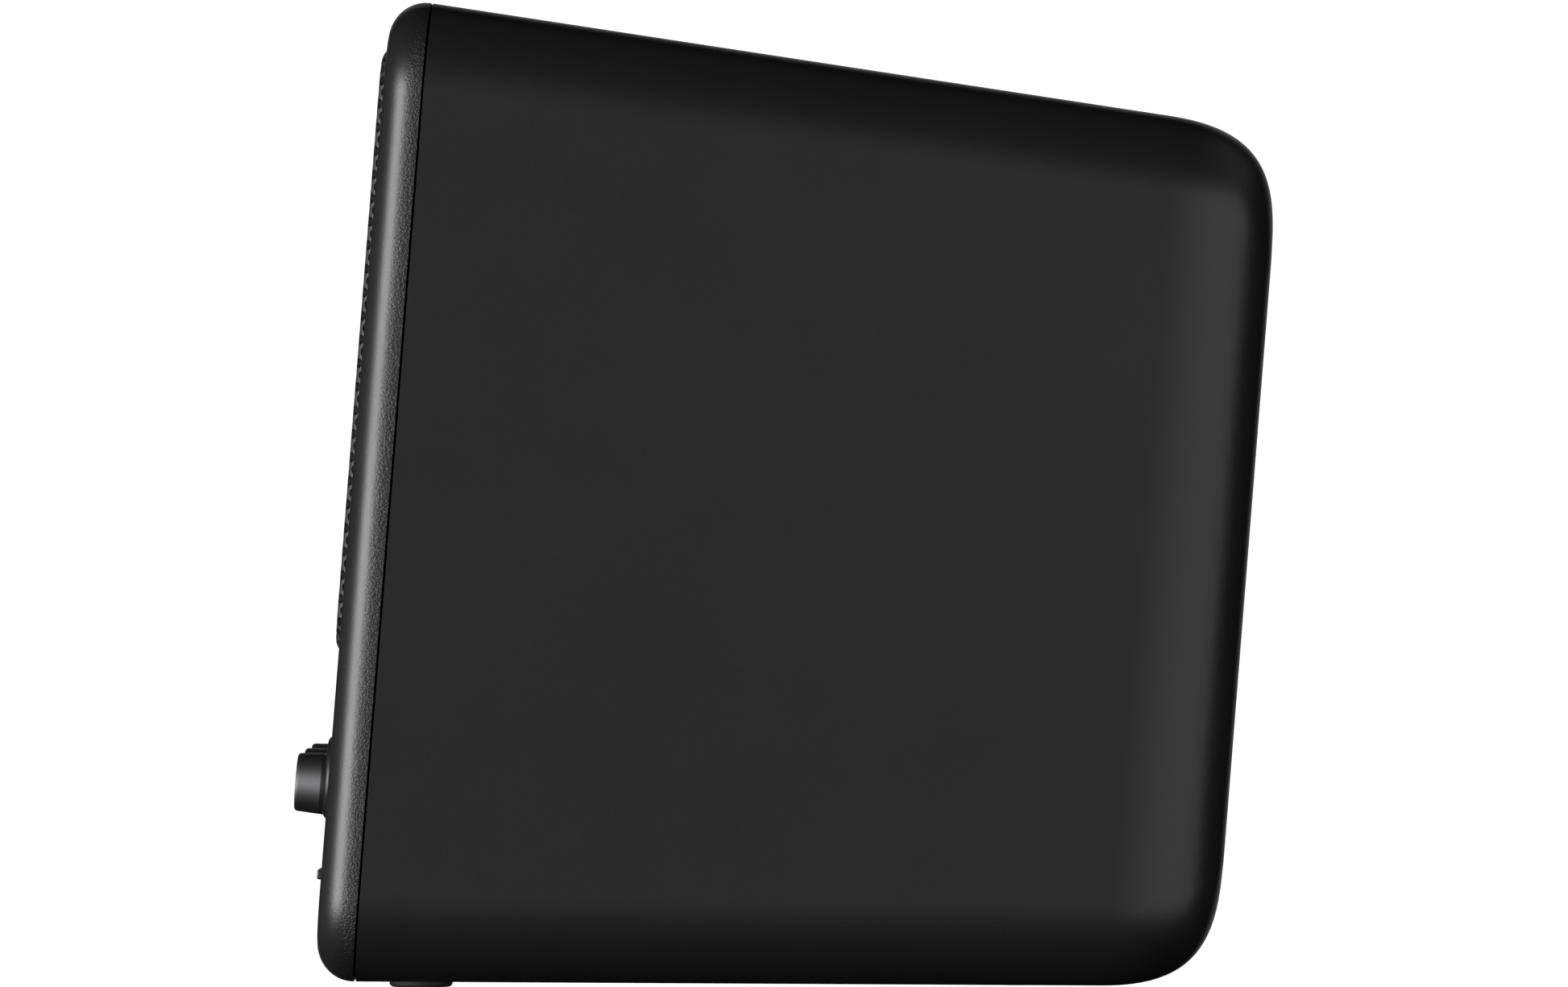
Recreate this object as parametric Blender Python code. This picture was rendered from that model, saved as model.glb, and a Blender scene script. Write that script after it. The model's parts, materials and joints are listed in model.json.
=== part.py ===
"""A compact powered desk speaker with a tapered cabinet and a round-edged front.

It has a square grille, three rotary controls on a raised plate, a bar-shaped power button, and a
recessed jack bay at the back. Everything but the feet is modelled in the face frame: X to the right,
Y from the seam plane towards the back, Z up along the front. The face frame leans back by TILT. That is
a little more than the cabinet's draft, so its bottom comes down slightly towards the back, where the
feet are thinner.
"""

import math

import bmesh
import bpy
from mathutils import Vector

MM = 0.001

# Driving dimensions
WIDTH = 150 * MM  # across the mouth of the cabinet
HEIGHT = 207 * MM  # up the mouth, along the leaning front
DEPTH = 181.4 * MM  # seam plane to rear face
TILT = math.radians(4.53)  # lean of the front
DRAFT = math.radians(4.06)  # draft of all four cabinet sides
CORNER = 19 * MM  # corner radius of the mouth
WALL = 3.4 * MM
REAR_WALL = 5 * MM
REAR_REACH = 24 * MM  # length of the rear edge blend along each face
REAR_FULLNESS = 0.72  # how far the blend's handles reach towards the sharp corner
BEZEL = 8.3 * MM  # depth of the baffle in front of the seam
ROUND_OVER = 8.2 * MM
SEAM = 0.5 * MM
FOOT_PROUD = 1.2 * MM  # at the front
FOOT_R = 6.75 * MM
FRONT_FOOT, REAR_FOOT = 14 * MM, 140 * MM  # distance of the feet behind the seam
GAP = 0.3 * MM  # clearance between neighbouring pieces
CENTRE_Y = -82.37 * MM  # puts the middle of the bounding box over the origin

# Grille and driver
GRILLE_W = 129 * MM
GRILLE_H = 128.4 * MM
GRILLE_CORNER = 9.8 * MM
GRILLE_Z = HEIGHT / 2 - 9.9 * MM - GRILLE_H / 2
GRILLE_PROUD = 1.1 * MM
SHEET = 1 * MM
POCKET_FLOOR = -1.2 * MM
BAFFLE_BACK = 3 * MM
DRIVER_HOLE = 49 * MM
FLANGE_R = 56 * MM
DRIVER_SCREW_R = 53.3 * MM
BAFFLE_SCREW_REACH = 58.5 * MM
POLE_R = 9.5 * MM
COIL_IN, COIL_OUT = 9.9 * MM, 10.9 * MM

# Controls
FRONT = -BEZEL
KNOB_PITCH = 37.5 * MM
KNOB_Z = -63 * MM
KNOB_FRONT = FRONT - 7.85 * MM
KNOB_GAP = 0.4 * MM  # between a knob and the plate
PLATE_W, PLATE_H = 122 * MM, 17.74 * MM
PLATE_Z = -61.1 * MM
PLATE_FRONT = FRONT - 1.12 * MM
PLATE_SINK = 0.8 * MM
FRONT_WALL = 3 * MM
SHAFT_R = 3 * MM
BUTTON_X, BUTTON_Z = 37.5 * MM, -82.05 * MM
BUTTON_W, BUTTON_H = 12 * MM, 2.13 * MM
BUTTON_PROUD = 1.7 * MM
LED_X = 24.5 * MM
AUX_X = -37.5 * MM
BOARD_Y = 6.5 * MM

# Back
BAY_W, BAY_H = 67 * MM, 57 * MM
BAY_Z = -32 * MM
BAY_FLOOR = 169 * MM
INLET_X, INLET_Z = -12 * MM, -42.5 * MM
RCA_X = 19 * MM
RCA_Z = {"left": -31 * MM, "right": -47 * MM}
PORT_Z = 42 * MM
PORT_IN, PORT_OUT = 13 * MM, 15 * MM

ARC = 5  # segments in each rounded corner of an outline
ROUND = 24  # segments round a turned piece


# Building blocks


def clear_scene():
    for old in list(bpy.data.objects):
        bpy.data.objects.remove(old)


def material(name, colour, roughness, metallic=0.0):
    made = bpy.data.materials.new(name)
    made.use_nodes = True
    shader = made.node_tree.nodes["Principled BSDF"]
    shader.inputs["Base Color"].default_value = (*colour, 1)
    shader.inputs["Roughness"].default_value = roughness
    shader.inputs["Metallic"].default_value = metallic
    return made


def finish(name, bm, mat, at=(0, 0, 0), frame=None):
    """Makes the bmesh an object at that place, under the frame's empty, with its faces pointing out."""
    bmesh.ops.remove_doubles(bm, verts=bm.verts, dist=1e-7)
    bmesh.ops.recalc_face_normals(bm, faces=bm.faces)
    mesh = bpy.data.meshes.new(name)
    bm.to_mesh(mesh)
    bm.free()
    mesh.shade_smooth()
    mesh.set_sharp_from_angle(angle=math.radians(35))
    obj = bpy.data.objects.new(name, mesh)
    bpy.context.scene.collection.objects.link(obj)
    obj.location = at
    obj.parent = frame
    if mat is None:
        obj.hide_render = True
        obj.display_type = "WIRE"
    else:
        mesh.materials.append(mat)
    return obj


def bridge(bm, a, b):
    """Faces between two rings of as many vertices, either of which may be a single pole."""
    for i in range(max(len(a), len(b))):
        corners = [a[i % len(a)], a[(i + 1) % len(a)], b[(i + 1) % len(b)], b[i % len(b)]]
        bm.faces.new(list(dict.fromkeys(corners)))


def loft(name, rings, mat, closed=False, **place):
    """A solid through rings of points, capped at both ends, or joined end to start if closed."""
    bm = bmesh.new()
    loops = [[bm.verts.new(p) for p in ring] for ring in rings]
    for a, b in zip(loops, loops[1:]):
        bridge(bm, a, b)
    if closed:
        bridge(bm, loops[-1], loops[0])
    else:
        for loop in (loops[0], loops[-1]):
            if len(loop) > 2:
                bm.faces.new(loop)
    return finish(name, bm, mat, **place)


def turned(name, profile, mat, at=(0, 0, 0), segments=ROUND, closed=True, **place):
    """A piece turned about local Y through (radius, y) points. A radius of 0 is a pole."""
    rings = []
    for radius, y in profile:
        count = segments if radius > 0 else 1
        angles = [2 * math.pi * (i + 0.5) / segments for i in range(count)]
        rings.append([(radius * math.cos(a), y, radius * math.sin(a)) for a in angles])
    return loft(name, rings, mat, closed=closed and profile[0][0] > 0, at=at, **place)


def outline(width, height, radius, y, x=0.0, z=0.0, arc=ARC):
    """A rounded rectangle in the XZ plane at depth y."""
    points = []
    for quarter in range(4):
        cx = (width / 2 - radius) * (1 if quarter in (0, 3) else -1)
        cz = (height / 2 - radius) * (1 if quarter in (0, 1) else -1)
        for step in range(arc + 1):
            a = math.pi / 2 * (quarter + step / arc)
            points.append((x + cx + radius * math.cos(a), y, z + cz + radius * math.sin(a)))
    return points


def slab(name, width, height, radius, y0, y1, mat, x=0.0, z=0.0, arc=ARC, **place):
    rings = [outline(width, height, radius, y, x, z, arc) for y in (y0, y1)]
    return loft(name, rings, mat, **place)


def block(name, low, high, mat, **place):
    """A plain box between two corners."""
    (x0, y0, z0), (x1, y1, z1) = low, high
    rings = [[(x0, y, z0), (x1, y, z0), (x1, y, z1), (x0, y, z1)] for y in (y0, y1)]
    return loft(name, rings, mat, **place)


def boolean(target, other, operation="DIFFERENCE"):
    """Cuts other from target, or joins it. other becomes a helper that isn't part of the model."""
    modifier = target.modifiers.new(other.name, "BOOLEAN")
    modifier.object = other
    modifier.operation = operation
    modifier.solver = "EXACT"
    other.hide_render = True
    other.display_type = "WIRE"


def hole(target, x, z, radius, y0, y1, segments=16):
    """A round hole along Y."""
    name = f"{target.name}_hole_{len(target.modifiers)}"
    profile = [(0, y0), (radius, y0), (radius, y1), (0, y1)]
    boolean(target, turned(name, profile, None, at=(x, 0, z), segments=segments, frame=target.parent))


# Cabinet outline


def skin_outline(inset, y, corner, arc=ARC):
    return outline(WIDTH - 2 * inset, HEIGHT - 2 * inset, corner, y, arc=arc)


def cabinet_rings(skin, rear, reach, steps, y_start):
    """Outlines from the mouth to the back, skin under the outside surface, with the rear edge blended."""
    slope = math.tan(DRAFT)
    corner_y, corner_inset = rear, rear * slope + skin
    along = Vector((-math.cos(DRAFT), -math.sin(DRAFT)))
    inward = Vector((0, 1))
    sharp = Vector((corner_y, corner_inset))
    handle = reach * (1 - REAR_FULLNESS)
    points = [sharp + along * reach, sharp + along * handle, sharp + inward * handle, sharp + inward * reach]
    rings = [skin_outline(y_start * slope + skin, y_start, CORNER - skin)]
    for step in range(steps + 1):
        t = step / steps
        weights = [(1 - t) ** 3, 3 * t * (1 - t) ** 2, 3 * t * t * (1 - t), t**3]
        y, inset = sum((w * p for w, p in zip(weights, points)), Vector((0, 0)))
        blended = inset - skin - y * slope
        rings.append(skin_outline(inset, y, CORNER - skin - 1 * MM - 0.45 * blended))
    return rings


# Pieces


def make_cabinet(frame, black):
    """The rear bucket: gasket groove, screw bosses, jack bay, port hole and foot pockets."""
    slope = math.tan(DRAFT)
    groove = 3.2 * MM
    inner = cabinet_rings(WALL, DEPTH - REAR_WALL, REAR_REACH - WALL, 4, groove)
    lip = [
        skin_outline(1.4 * MM + groove * slope, groove, CORNER - 1.4 * MM),
        skin_outline(1.4 * MM, SEAM, CORNER - 1.4 * MM),
    ]
    outer = cabinet_rings(0.0, DEPTH, REAR_REACH, 6, SEAM)
    shell = loft("cabinet_shell", inner[::-1] + lip + outer, black, frame=frame)

    for number, (x, z) in enumerate(baffle_screw_places(), 1):
        side = math.copysign(1, x)
        boss = turned(
            f"boss_{number}",
            [(0, 6 * MM), (3.8 * MM, 6 * MM), (3.8 * MM, 30 * MM), (0, 30 * MM)],
            None, at=(x, 0, z), segments=12, frame=frame,
        )
        edges = sorted((x + side * 2 * MM, side * (WIDTH / 2 - 4.2 * MM)))
        web = block(
            f"boss_web_{number}",
            (edges[0], 7 * MM, z - 1.2 * MM), (edges[1], 26 * MM, z + 1.2 * MM), None, frame=frame,
        )
        boolean(shell, boss, "UNION")
        boolean(shell, web, "UNION")
        hole(shell, x, z, 1.7 * MM, 5 * MM, 22 * MM, 8)

    bay_top = 4 * MM
    surround = slab(
        "bay_block", 76 * MM, 66 * MM, 5 * MM, 163 * MM, 178 * MM, None, z=BAY_Z, arc=1, frame=frame,
    )
    boolean(shell, surround, "UNION")
    bay = loft(
        "bay_cutter",
        [
            outline(BAY_W, BAY_H, 4 * MM, BAY_FLOOR, z=BAY_Z, arc=3),
            outline(BAY_W + bay_top, BAY_H + bay_top, 5 * MM, DEPTH + 1 * MM, z=BAY_Z, arc=3),
        ],
        None, frame=frame,
    )
    boolean(shell, bay)
    window = block(
        "bay_window",
        (-26 * MM, 160 * MM, BAY_Z - 21.5 * MM), (26 * MM, 170 * MM, BAY_Z + 21.5 * MM), None, frame=frame,
    )
    boolean(shell, window)
    for x, z in panel_screw_places():
        hole(shell, x, z, 1.7 * MM, 162 * MM, 170 * MM, 8)
    port_hole = mm_points((0, 170), (15.5, 170), (15.5, 178.5), (21.4, 178.5), (21.4, 182), (0, 182))
    boolean(shell, turned("port_hole", port_hole, None, at=(0, 0, PORT_Z), frame=frame))

    for name, x, y, top in foot_places():
        profile = [(0, 0), (FOOT_R + GAP, 0), (FOOT_R + GAP, top + GAP), (0, top + GAP)]
        pocket = turned(f"{name}_pocket", profile, None, at=(x, y, 0), segments=20)
        pocket.rotation_euler.x = math.pi / 2
        boolean(shell, pocket)


def make_baffle(frame, black):
    """The round-edged front, with its spigot, grille pocket and the holes that the controls pass through."""
    flat = 0.6 * MM
    rings = []
    steps = 5
    for step in range(steps + 1):
        a = math.pi / 2 * (1 - step / steps)
        inset = ROUND_OVER * (1 - math.cos(a))
        y = -flat - (BEZEL - flat) * math.sin(a)
        rings.append(skin_outline(inset, y, CORNER - inset))
    for inset, y in ((0, 0), (4.3, 0), (4.3, 5), (6.8, 5), (6.8, BAFFLE_BACK / MM)):
        rings.append(skin_outline(inset * MM, y * MM, CORNER - inset * MM))
    baffle = loft("front_baffle", rings, black, frame=frame)

    boolean(baffle, slab(
        "grille_pocket", GRILLE_W + 0.8 * MM, GRILLE_H + 0.8 * MM, GRILLE_CORNER + 0.4 * MM,
        FRONT - 1 * MM, POCKET_FLOOR, None, z=GRILLE_Z, frame=frame,
    ))
    boolean(baffle, slab(
        "control_recess", PLATE_W + 0.6 * MM, PLATE_H + 0.6 * MM, PLATE_H / 2 + 0.29 * MM,
        FRONT - 1 * MM, FRONT + PLATE_SINK, None, z=PLATE_Z, frame=frame,
    ))
    boolean(baffle, block(
        "control_cavity",
        (-62 * MM, FRONT + FRONT_WALL, -95 * MM), (62 * MM, 4 * MM, -42 * MM), None, frame=frame,
    ))
    hole(baffle, 0, GRILLE_Z, DRIVER_HOLE, -5 * MM, 5 * MM, ROUND)
    for x in (-KNOB_PITCH, 0, KNOB_PITCH):
        hole(baffle, x, KNOB_Z, 4 * MM, FRONT - 1 * MM, 0)
    boolean(baffle, slab(
        "button_slot", BUTTON_W + 0.7 * MM, BUTTON_H + 0.7 * MM, 0.6 * MM,
        FRONT - 1 * MM, 0, None, x=BUTTON_X, z=BUTTON_Z, arc=1, frame=frame,
    ))
    hole(baffle, LED_X, BUTTON_Z, 1.4 * MM, FRONT - 1 * MM, 0, 12)
    hole(baffle, AUX_X, BUTTON_Z, 3.5 * MM, FRONT - 1 * MM, 0)
    for x, z in baffle_screw_places():
        hole(baffle, x, z, 2 * MM, -3 * MM, 6 * MM, 8)
    for x, z in driver_screw_places():
        hole(baffle, x, z, 1.7 * MM, -3 * MM, 6 * MM, 8)


def make_front_trim(frame, black, steel, rubber):
    """Gasket in the seam, grille, and the raised plate under the knobs."""
    band = ((1.8, 0.35), (3.2, 0.35), (3.2, 2.8), (1.8, 2.8))
    loft(
        "seam_gasket",
        [skin_outline(inset * MM, y * MM, CORNER - inset * MM) for inset, y in band],
        rubber, closed=True, frame=frame,
    )

    edge = 2.5 * MM
    face = FRONT - GRILLE_PROUD
    rim = POCKET_FLOOR - 2 * GAP

    def grille_ring(inset, y):
        corner = GRILLE_CORNER - inset
        return outline(GRILLE_W - 2 * inset, GRILLE_H - 2 * inset, corner, y, z=GRILLE_Z)

    inside = [(edge, face + SHEET), (SHEET, face + edge), (SHEET, rim)]
    outside = [(0.0, rim)]
    for step in range(4):
        a = math.pi / 2 * step / 3
        outside.append((edge * (1 - math.cos(a)), face + edge * (1 - math.sin(a))))
    loft("speaker_grille", [grille_ring(*p) for p in inside + outside], steel, frame=frame)

    chamfer, bevel = 0.5 * MM, 1.3 * MM
    back = FRONT + PLATE_SINK - GAP
    plate = loft(
        "control_plate",
        [
            outline(PLATE_W, PLATE_H, PLATE_H / 2 - 0.01 * MM, back, z=PLATE_Z),
            outline(PLATE_W, PLATE_H, PLATE_H / 2 - 0.01 * MM, PLATE_FRONT + chamfer, z=PLATE_Z),
            outline(PLATE_W - 2 * bevel, PLATE_H - 2 * bevel, PLATE_H / 2 - bevel, PLATE_FRONT, z=PLATE_Z),
        ],
        black, frame=frame,
    )
    for x in (-KNOB_PITCH, 0, KNOB_PITCH):
        hole(plate, x, KNOB_Z, 4 * MM, PLATE_FRONT - 1 * MM, 0)


def make_driver(frame, mats):
    """A four-inch full-range driver: basket, magnet system, and the cone with its suspension."""
    centre = (0, 0, GRILLE_Z)
    place = {"at": centre, "frame": frame}

    basket = turned(
        "driver_basket",
        mm_points(
            (47, -3.9), (56, -3.9), (56, -2.4), (47.5, -2.4), (34.6, 15.8), (34.6, 17.6), (29.8, 17.6),
            (29.8, 25.9), (12.5, 25.9), (12.5, 24.4), (28.3, 24.4), (28.3, 16.1), (33.2, 16.1), (33.2, 15.2),
            (45.6, -2.4),
        ),
        mats["painted"], **place,
    )
    for number in range(6):
        angle = math.radians(60 * number + 30)
        reach = 42 * MM
        window = slab(
            f"basket_window_{number}", 26 * MM, 16 * MM, 4 * MM, -0.6 * MM, 13.4 * MM, None, arc=2,
            frame=frame, at=(reach * math.cos(angle), 0, GRILLE_Z + reach * math.sin(angle)),
        )
        window.rotation_euler.y = math.pi / 2 - angle
        boolean(basket, window)
    for x, z in driver_screw_places():
        hole(basket, x, z, 1.8 * MM, -5 * MM, 0, 8)

    turned("driver_gasket", ring(49.3, 51.2, -2.1, -1.5), mats["rubber"], **place)
    turned("driver_top_plate", ring(11.5, 27, 26.3, 30), mats["steel"], **place)
    turned("driver_magnet", ring(14, 34, 30.3, 42), mats["ferrite"], **place)
    pole = POLE_R / MM
    turned(
        "driver_yoke",
        mm_points((0, 26), (pole, 26), (pole, 42.3), (27, 42.3), (27, 46), (25.5, 47.5), (0, 47.5)),
        mats["steel"], closed=False, **place,
    )

    turned("voice_coil", ring(COIL_IN / MM, COIL_OUT / MM, 12.6, 36), mats["copper"], **place)
    cone = [(11.3, 12.9), (16, 10.6), (24, 5.6), (32, 1), (39.6, -2.6)]
    front = [(r, y - 0.8) for r, y in reversed(cone)]
    turned("driver_cone", mm_points(*cone, *front), mats["paper"], **place)
    turned(
        "dust_cap",
        mm_points(
            (0, 4.9), (5.5, 5.5), (10, 7.3), (13.2, 10.3), (13.2, 10.9), (9.6, 8.1), (5.3, 6.3), (0, 5.7),
        ),
        mats["paper"], closed=False, **place,
    )

    roll, wall, middle = 2.7, 0.6, 42.6
    over, under = [], []
    for step in range(7):
        a = math.pi * step / 6
        across, rise = math.cos(a), math.sin(a)
        over.append((middle - (roll + wall / 2) * across, -4.2 - roll * rise))
        under.append((middle - (roll - wall / 2) * across, -4.2 + wall / 2 - (roll - wall) * rise))
    lip = [(37.6, -3.2 - 0.6), (37.6, -3.8 - 0.6)]
    ledge = [(48.6, -4.8), (48.6, -4.2)]
    turned(
        "driver_surround",
        mm_points(*lip, *over[:1], *over[1:-1], *over[-1:], *ledge, *under[::-1]),
        mats["rubber"], **place,
    )

    waves = 3
    front, back = [], []
    for step in range(2 * waves + 1):
        radius = 11.3 + (32.7 - 11.3) * step / (2 * waves)
        bulge = 0.9 * (1 if step % 2 else -1)
        front.append((radius, 14.2 + bulge))
        back.append((radius, 14.7 + bulge))
    turned("driver_spider", mm_points(*front, *back[::-1]), mats["cloth"], **place)

    block(
        "terminal_strip",
        (-9 * MM, 17.9 * MM, GRILLE_Z - 45 * MM), (9 * MM, 19.5 * MM, GRILLE_Z - 30.4 * MM), mats["board"],
        frame=frame,
    )


def make_controls(frame, mats):
    """Knobs, shafts, potentiometers, button, switch, light pipe, input jack, and their board."""
    board = block(
        "control_board",
        (-62 * MM, BOARD_Y, -93 * MM), (62 * MM, BOARD_Y + 1.6 * MM, -48 * MM), mats["board"], frame=frame,
    )
    for name, x in control_names():
        at = (x, 0, KNOB_Z)
        front = KNOB_FRONT / MM
        back = (PLATE_FRONT - KNOB_GAP) / MM
        turned(
            f"{name}_knob",
            mm_points(
                (0, front), (5.5, front), (6.05, front + 0.25), (6.25, front + 0.8), (6.6, back),
                (3.5, back), (3.5, front + 1.6), (0, front + 1.6),
            ),
            mats["knob"], at=at, closed=False, frame=frame,
        )
        turned(
            f"{name}_shaft",
            [(0, KNOB_FRONT + 2 * MM), (SHAFT_R, KNOB_FRONT + 2 * MM), (SHAFT_R, 4.4 * MM), (0, 4.4 * MM)],
            mats["steel"], at=at, segments=16, closed=False, frame=frame,
        )
        body = slab(f"{name}_potentiometer", 12 * MM, 13 * MM, 1.5 * MM, 0, BOARD_Y - GAP, mats["pot"],
                    x=x, z=KNOB_Z, arc=1, frame=frame)
        bush = turned(
            f"{name}_bush",
            mm_points((0, -4.9), (4.3, -4.9), (4.3, 1), (0, 1)), None, at=at, segments=12, closed=False,
            frame=frame,
        )
        boolean(body, bush, "UNION")
        hole(body, x, KNOB_Z, 3.4 * MM, -6 * MM, 5 * MM)

    stem = BUTTON_W - 4 * MM
    stop = FRONT + FRONT_WALL + GAP
    rings = []
    for width, height, y in (
        (BUTTON_W - 0.8 * MM, BUTTON_H - 0.8 * MM, FRONT - BUTTON_PROUD),
        (BUTTON_W, BUTTON_H, FRONT - BUTTON_PROUD + 0.4 * MM),
        (BUTTON_W, BUTTON_H, stop),
        (BUTTON_W + 2 * MM, BUTTON_H + 2 * MM, stop),
        (BUTTON_W + 2 * MM, BUTTON_H + 2 * MM, stop + 1.2 * MM),
        (stem, BUTTON_H, stop + 1.2 * MM),
        (stem, BUTTON_H, -0.6 * MM),
    ):
        rings.append(outline(width, height, 0.5 * MM, y, x=0.0, z=0.0, arc=2))
    loft("power_button", rings, mats["knob"], at=(BUTTON_X, 0, BUTTON_Z), frame=frame)
    switch = block(
        "power_switch",
        (BUTTON_X - 4 * MM, 2 * MM, BUTTON_Z - 4 * MM),
        (BUTTON_X + 4 * MM, BOARD_Y - GAP, BUTTON_Z + 4 * MM),
        mats["pot"], frame=frame,
    )
    hole(switch, BUTTON_X, BUTTON_Z, 2 * MM, 1 * MM, 5.2 * MM, 12)
    turned(
        "switch_plunger",
        mm_points((0, -0.3), (1.6, -0.3), (1.6, 3.4), (0, 3.4)), mats["pale"], at=(BUTTON_X, 0, BUTTON_Z),
        segments=12, closed=False, frame=frame,
    )
    turned(
        "status_light_pipe",
        mm_points((0, -8.5), (0.8, -8.5), (1.1, -8.2), (1.1, 5), (1.8, 5), (1.8, 6.2), (0, 6.2)),
        mats["pale"], at=(LED_X, 0, BUTTON_Z), segments=12, closed=False, frame=frame,
    )
    jack = block(
        "aux_input_jack",
        (AUX_X - 5.5 * MM, -4.9 * MM, BUTTON_Z - 4.5 * MM),
        (AUX_X + 5.5 * MM, BOARD_Y - GAP, BUTTON_Z + 4.5 * MM),
        mats["pot"], frame=frame,
    )
    nose = turned(
        "jack_nose",
        mm_points((0, -8.5), (2.9, -8.5), (3.1, -8.3), (3.1, -4), (0, -4)), None,
        at=(AUX_X, 0, BUTTON_Z), closed=False, segments=16, frame=frame,
    )
    boolean(jack, nose, "UNION")
    hole(jack, AUX_X, BUTTON_Z, 1.8 * MM, -10 * MM, 5 * MM, 12)
    return board


def make_back(frame, mats):
    """Jack panel with mains inlet and line inputs, and the flared bass port."""
    front = BAY_FLOOR + GAP
    back = front + 2 * MM
    panel = slab("rear_panel", BAY_W - 0.8 * MM, BAY_H - 0.8 * MM, 3.6 * MM, front, back, mats["painted"],
                 z=BAY_Z, arc=2, frame=frame)
    boolean(panel, slab("inlet_cutout", 27.8 * MM, 20.6 * MM, 2.3 * MM, front - 1 * MM, back + 1 * MM, None,
                        x=INLET_X, z=INLET_Z, arc=2, frame=frame))
    for z in RCA_Z.values():
        hole(panel, RCA_X, z, 4.6 * MM, front - 1 * MM, back + 1 * MM)
    for x, z in panel_screw_places():
        hole(panel, x, z, 1.8 * MM, front - 1 * MM, back + 1 * MM, 8)

    flange = back + GAP
    rear = flange + 2 * MM
    sizes = ((27.2, 20, 2, 152 * MM), (27.2, 20, 2, flange), (31, 24, 3, flange), (31, 24, 3, rear))
    rings = [outline(w * MM, h * MM, r * MM, y, x=INLET_X, z=INLET_Z, arc=2) for w, h, r, y in sizes]
    inlet = loft("mains_inlet", rings, mats["pot"], frame=frame)
    boolean(inlet, slab("inlet_cavity", 24 * MM, 16.6 * MM, 2.5 * MM, 158.6 * MM, 176 * MM, None,
                        x=INLET_X, z=INLET_Z, arc=1, frame=frame))
    for number, (dx, dz) in enumerate(((-7, -2), (0, 2), (7, -2))):
        x, z = INLET_X + dx * MM, INLET_Z + dz * MM
        low, high = (x - 1 * MM, 157 * MM, z - 2 * MM), (x + 1 * MM, 168.6 * MM, z + 2 * MM)
        pin = block(f"inlet_pin_{number}", low, high, None, frame=frame)
        boolean(inlet, pin, "UNION")

    for side, z in RCA_Z.items():
        y0, y1 = flange / MM, flange / MM + 7.6
        jack = turned(
            f"rca_jack_{side}",
            mm_points(
                (0, y0 - 12), (4.2, y0 - 12), (4.2, y0), (6, y0), (6, y0 + 1.2), (4.15, y0 + 1.2),
                (4.15, y1 - 0.3), (3.85, y1), (0, y1),
            ),
            mats["steel"], at=(RCA_X, 0, z), segments=16, closed=False, frame=frame,
        )
        hole(jack, RCA_X, z, 1.6 * MM, flange, flange + 10 * MM, 8)

    mouth = []
    for step in range(5):
        a = math.pi / 2 * step / 4
        mouth.append((PORT_IN / MM + 5 * (1 - math.cos(a)), 175.9 + 5 * math.sin(a)))
    outer = PORT_OUT / MM
    turned(
        "bass_port",
        mm_points((13, 120), *mouth, (20.4, 180.9), (21, 180.4), (21, 178.8), (outer, 178.8), (outer, 120)),
        mats["black"], at=(0, 0, PORT_Z), frame=frame,
    )


def make_electronics(frame, mats):
    """The amplifier board with its heat sink, capacitor and transformer, the wiring, and the damping pad."""
    top = -76 * MM
    block(
        "amplifier_board",
        (-45 * MM, 52 * MM, top - 1.6 * MM), (45 * MM, 148 * MM, top), mats["board"], frame=frame,
    )

    base = top + GAP
    low, high = (14 * MM, 58 * MM, base), (42 * MM, 118 * MM, base + 26 * MM)
    sink = block("heat_sink", low, high, mats["aluminium"], frame=frame)
    for number in range(4):
        x = (18 + 6.2 * number) * MM
        low, high = (x, 56 * MM, base + 4 * MM), (x + 3 * MM, 120 * MM, base + 28 * MM)
        boolean(sink, block(f"sink_slot_{number}", low, high, None, frame=frame))
    capacitor = turned(
        "bulk_capacitor", mm_points((0, 0), (9, 0), (9, 22), (8.2, 23), (0, 23)), mats["sleeve"],
        at=(-8 * MM, 132 * MM, base), segments=20, closed=False, frame=frame,
    )
    capacitor.rotation_euler.x = math.pi / 2
    slab("power_transformer", 26 * MM, 22 * MM, 2 * MM, 84 * MM, 112 * MM, mats["tape"],
         x=-26 * MM, z=base + 11 * MM, arc=1, frame=frame)

    low, high = (-50 * MM, 50 * MM, 70 * MM), (50 * MM, 150 * MM, 82 * MM)
    block("damping_pad", low, high, mats["foam"], frame=frame)

    for name, side in (("positive", 1), ("negative", -1)):
        route = (
            (5, 20.7, -9), (5, 24, -10), (5, 32, -16), (7, 42, -32), (8, 52, -54), (7, 60, -68),
            (6, 64, -74.6),
        )
        points = [(side * x, y, z) for x, y, z in route]
        cable(f"speaker_wire_{name}", points, 1.1 * MM, mats["wire_" + name], frame)
    route = (
        (-50, 9.6, -70), (-50, 14, -70), (-49, 24, -72), (-44, 38, -74), (-40, 50, -73.4), (-38, 60, -73.4),
    )
    cable("control_cable", route, 1.4 * MM, mats["pale"], frame)


def cable(name, route, radius, mat, frame, steps=4):
    """A round lead on a smooth curve through the route's points, which are in millimetres."""
    knots = [Vector(point) * MM for point in route]
    ends = [2 * knots[0] - knots[1]] + knots + [2 * knots[-1] - knots[-2]]
    points = []
    for a, b, c, d in zip(ends, ends[1:], ends[2:], ends[3:]):
        for step in range(steps):
            t = step / steps
            points.append(0.5 * (2 * b + (c - a) * t + (2 * a - 5 * b + 4 * c - d) * t**2
                                 + (3 * b - a - 3 * c + d) * t**3))
    points.append(knots[-1])
    curve = bpy.data.curves.new(name, "CURVE")
    curve.dimensions = "3D"
    curve.bevel_depth = radius
    curve.bevel_resolution = 1
    curve.use_fill_caps = True
    spline = curve.splines.new("POLY")
    spline.points.add(len(points) - 1)
    for slot, p in zip(spline.points, points):
        slot.co = (*p, 1)
    curve.materials.append(mat)
    obj = bpy.data.objects.new(name, curve)
    bpy.context.scene.collection.objects.link(obj)
    obj.parent = frame


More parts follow.
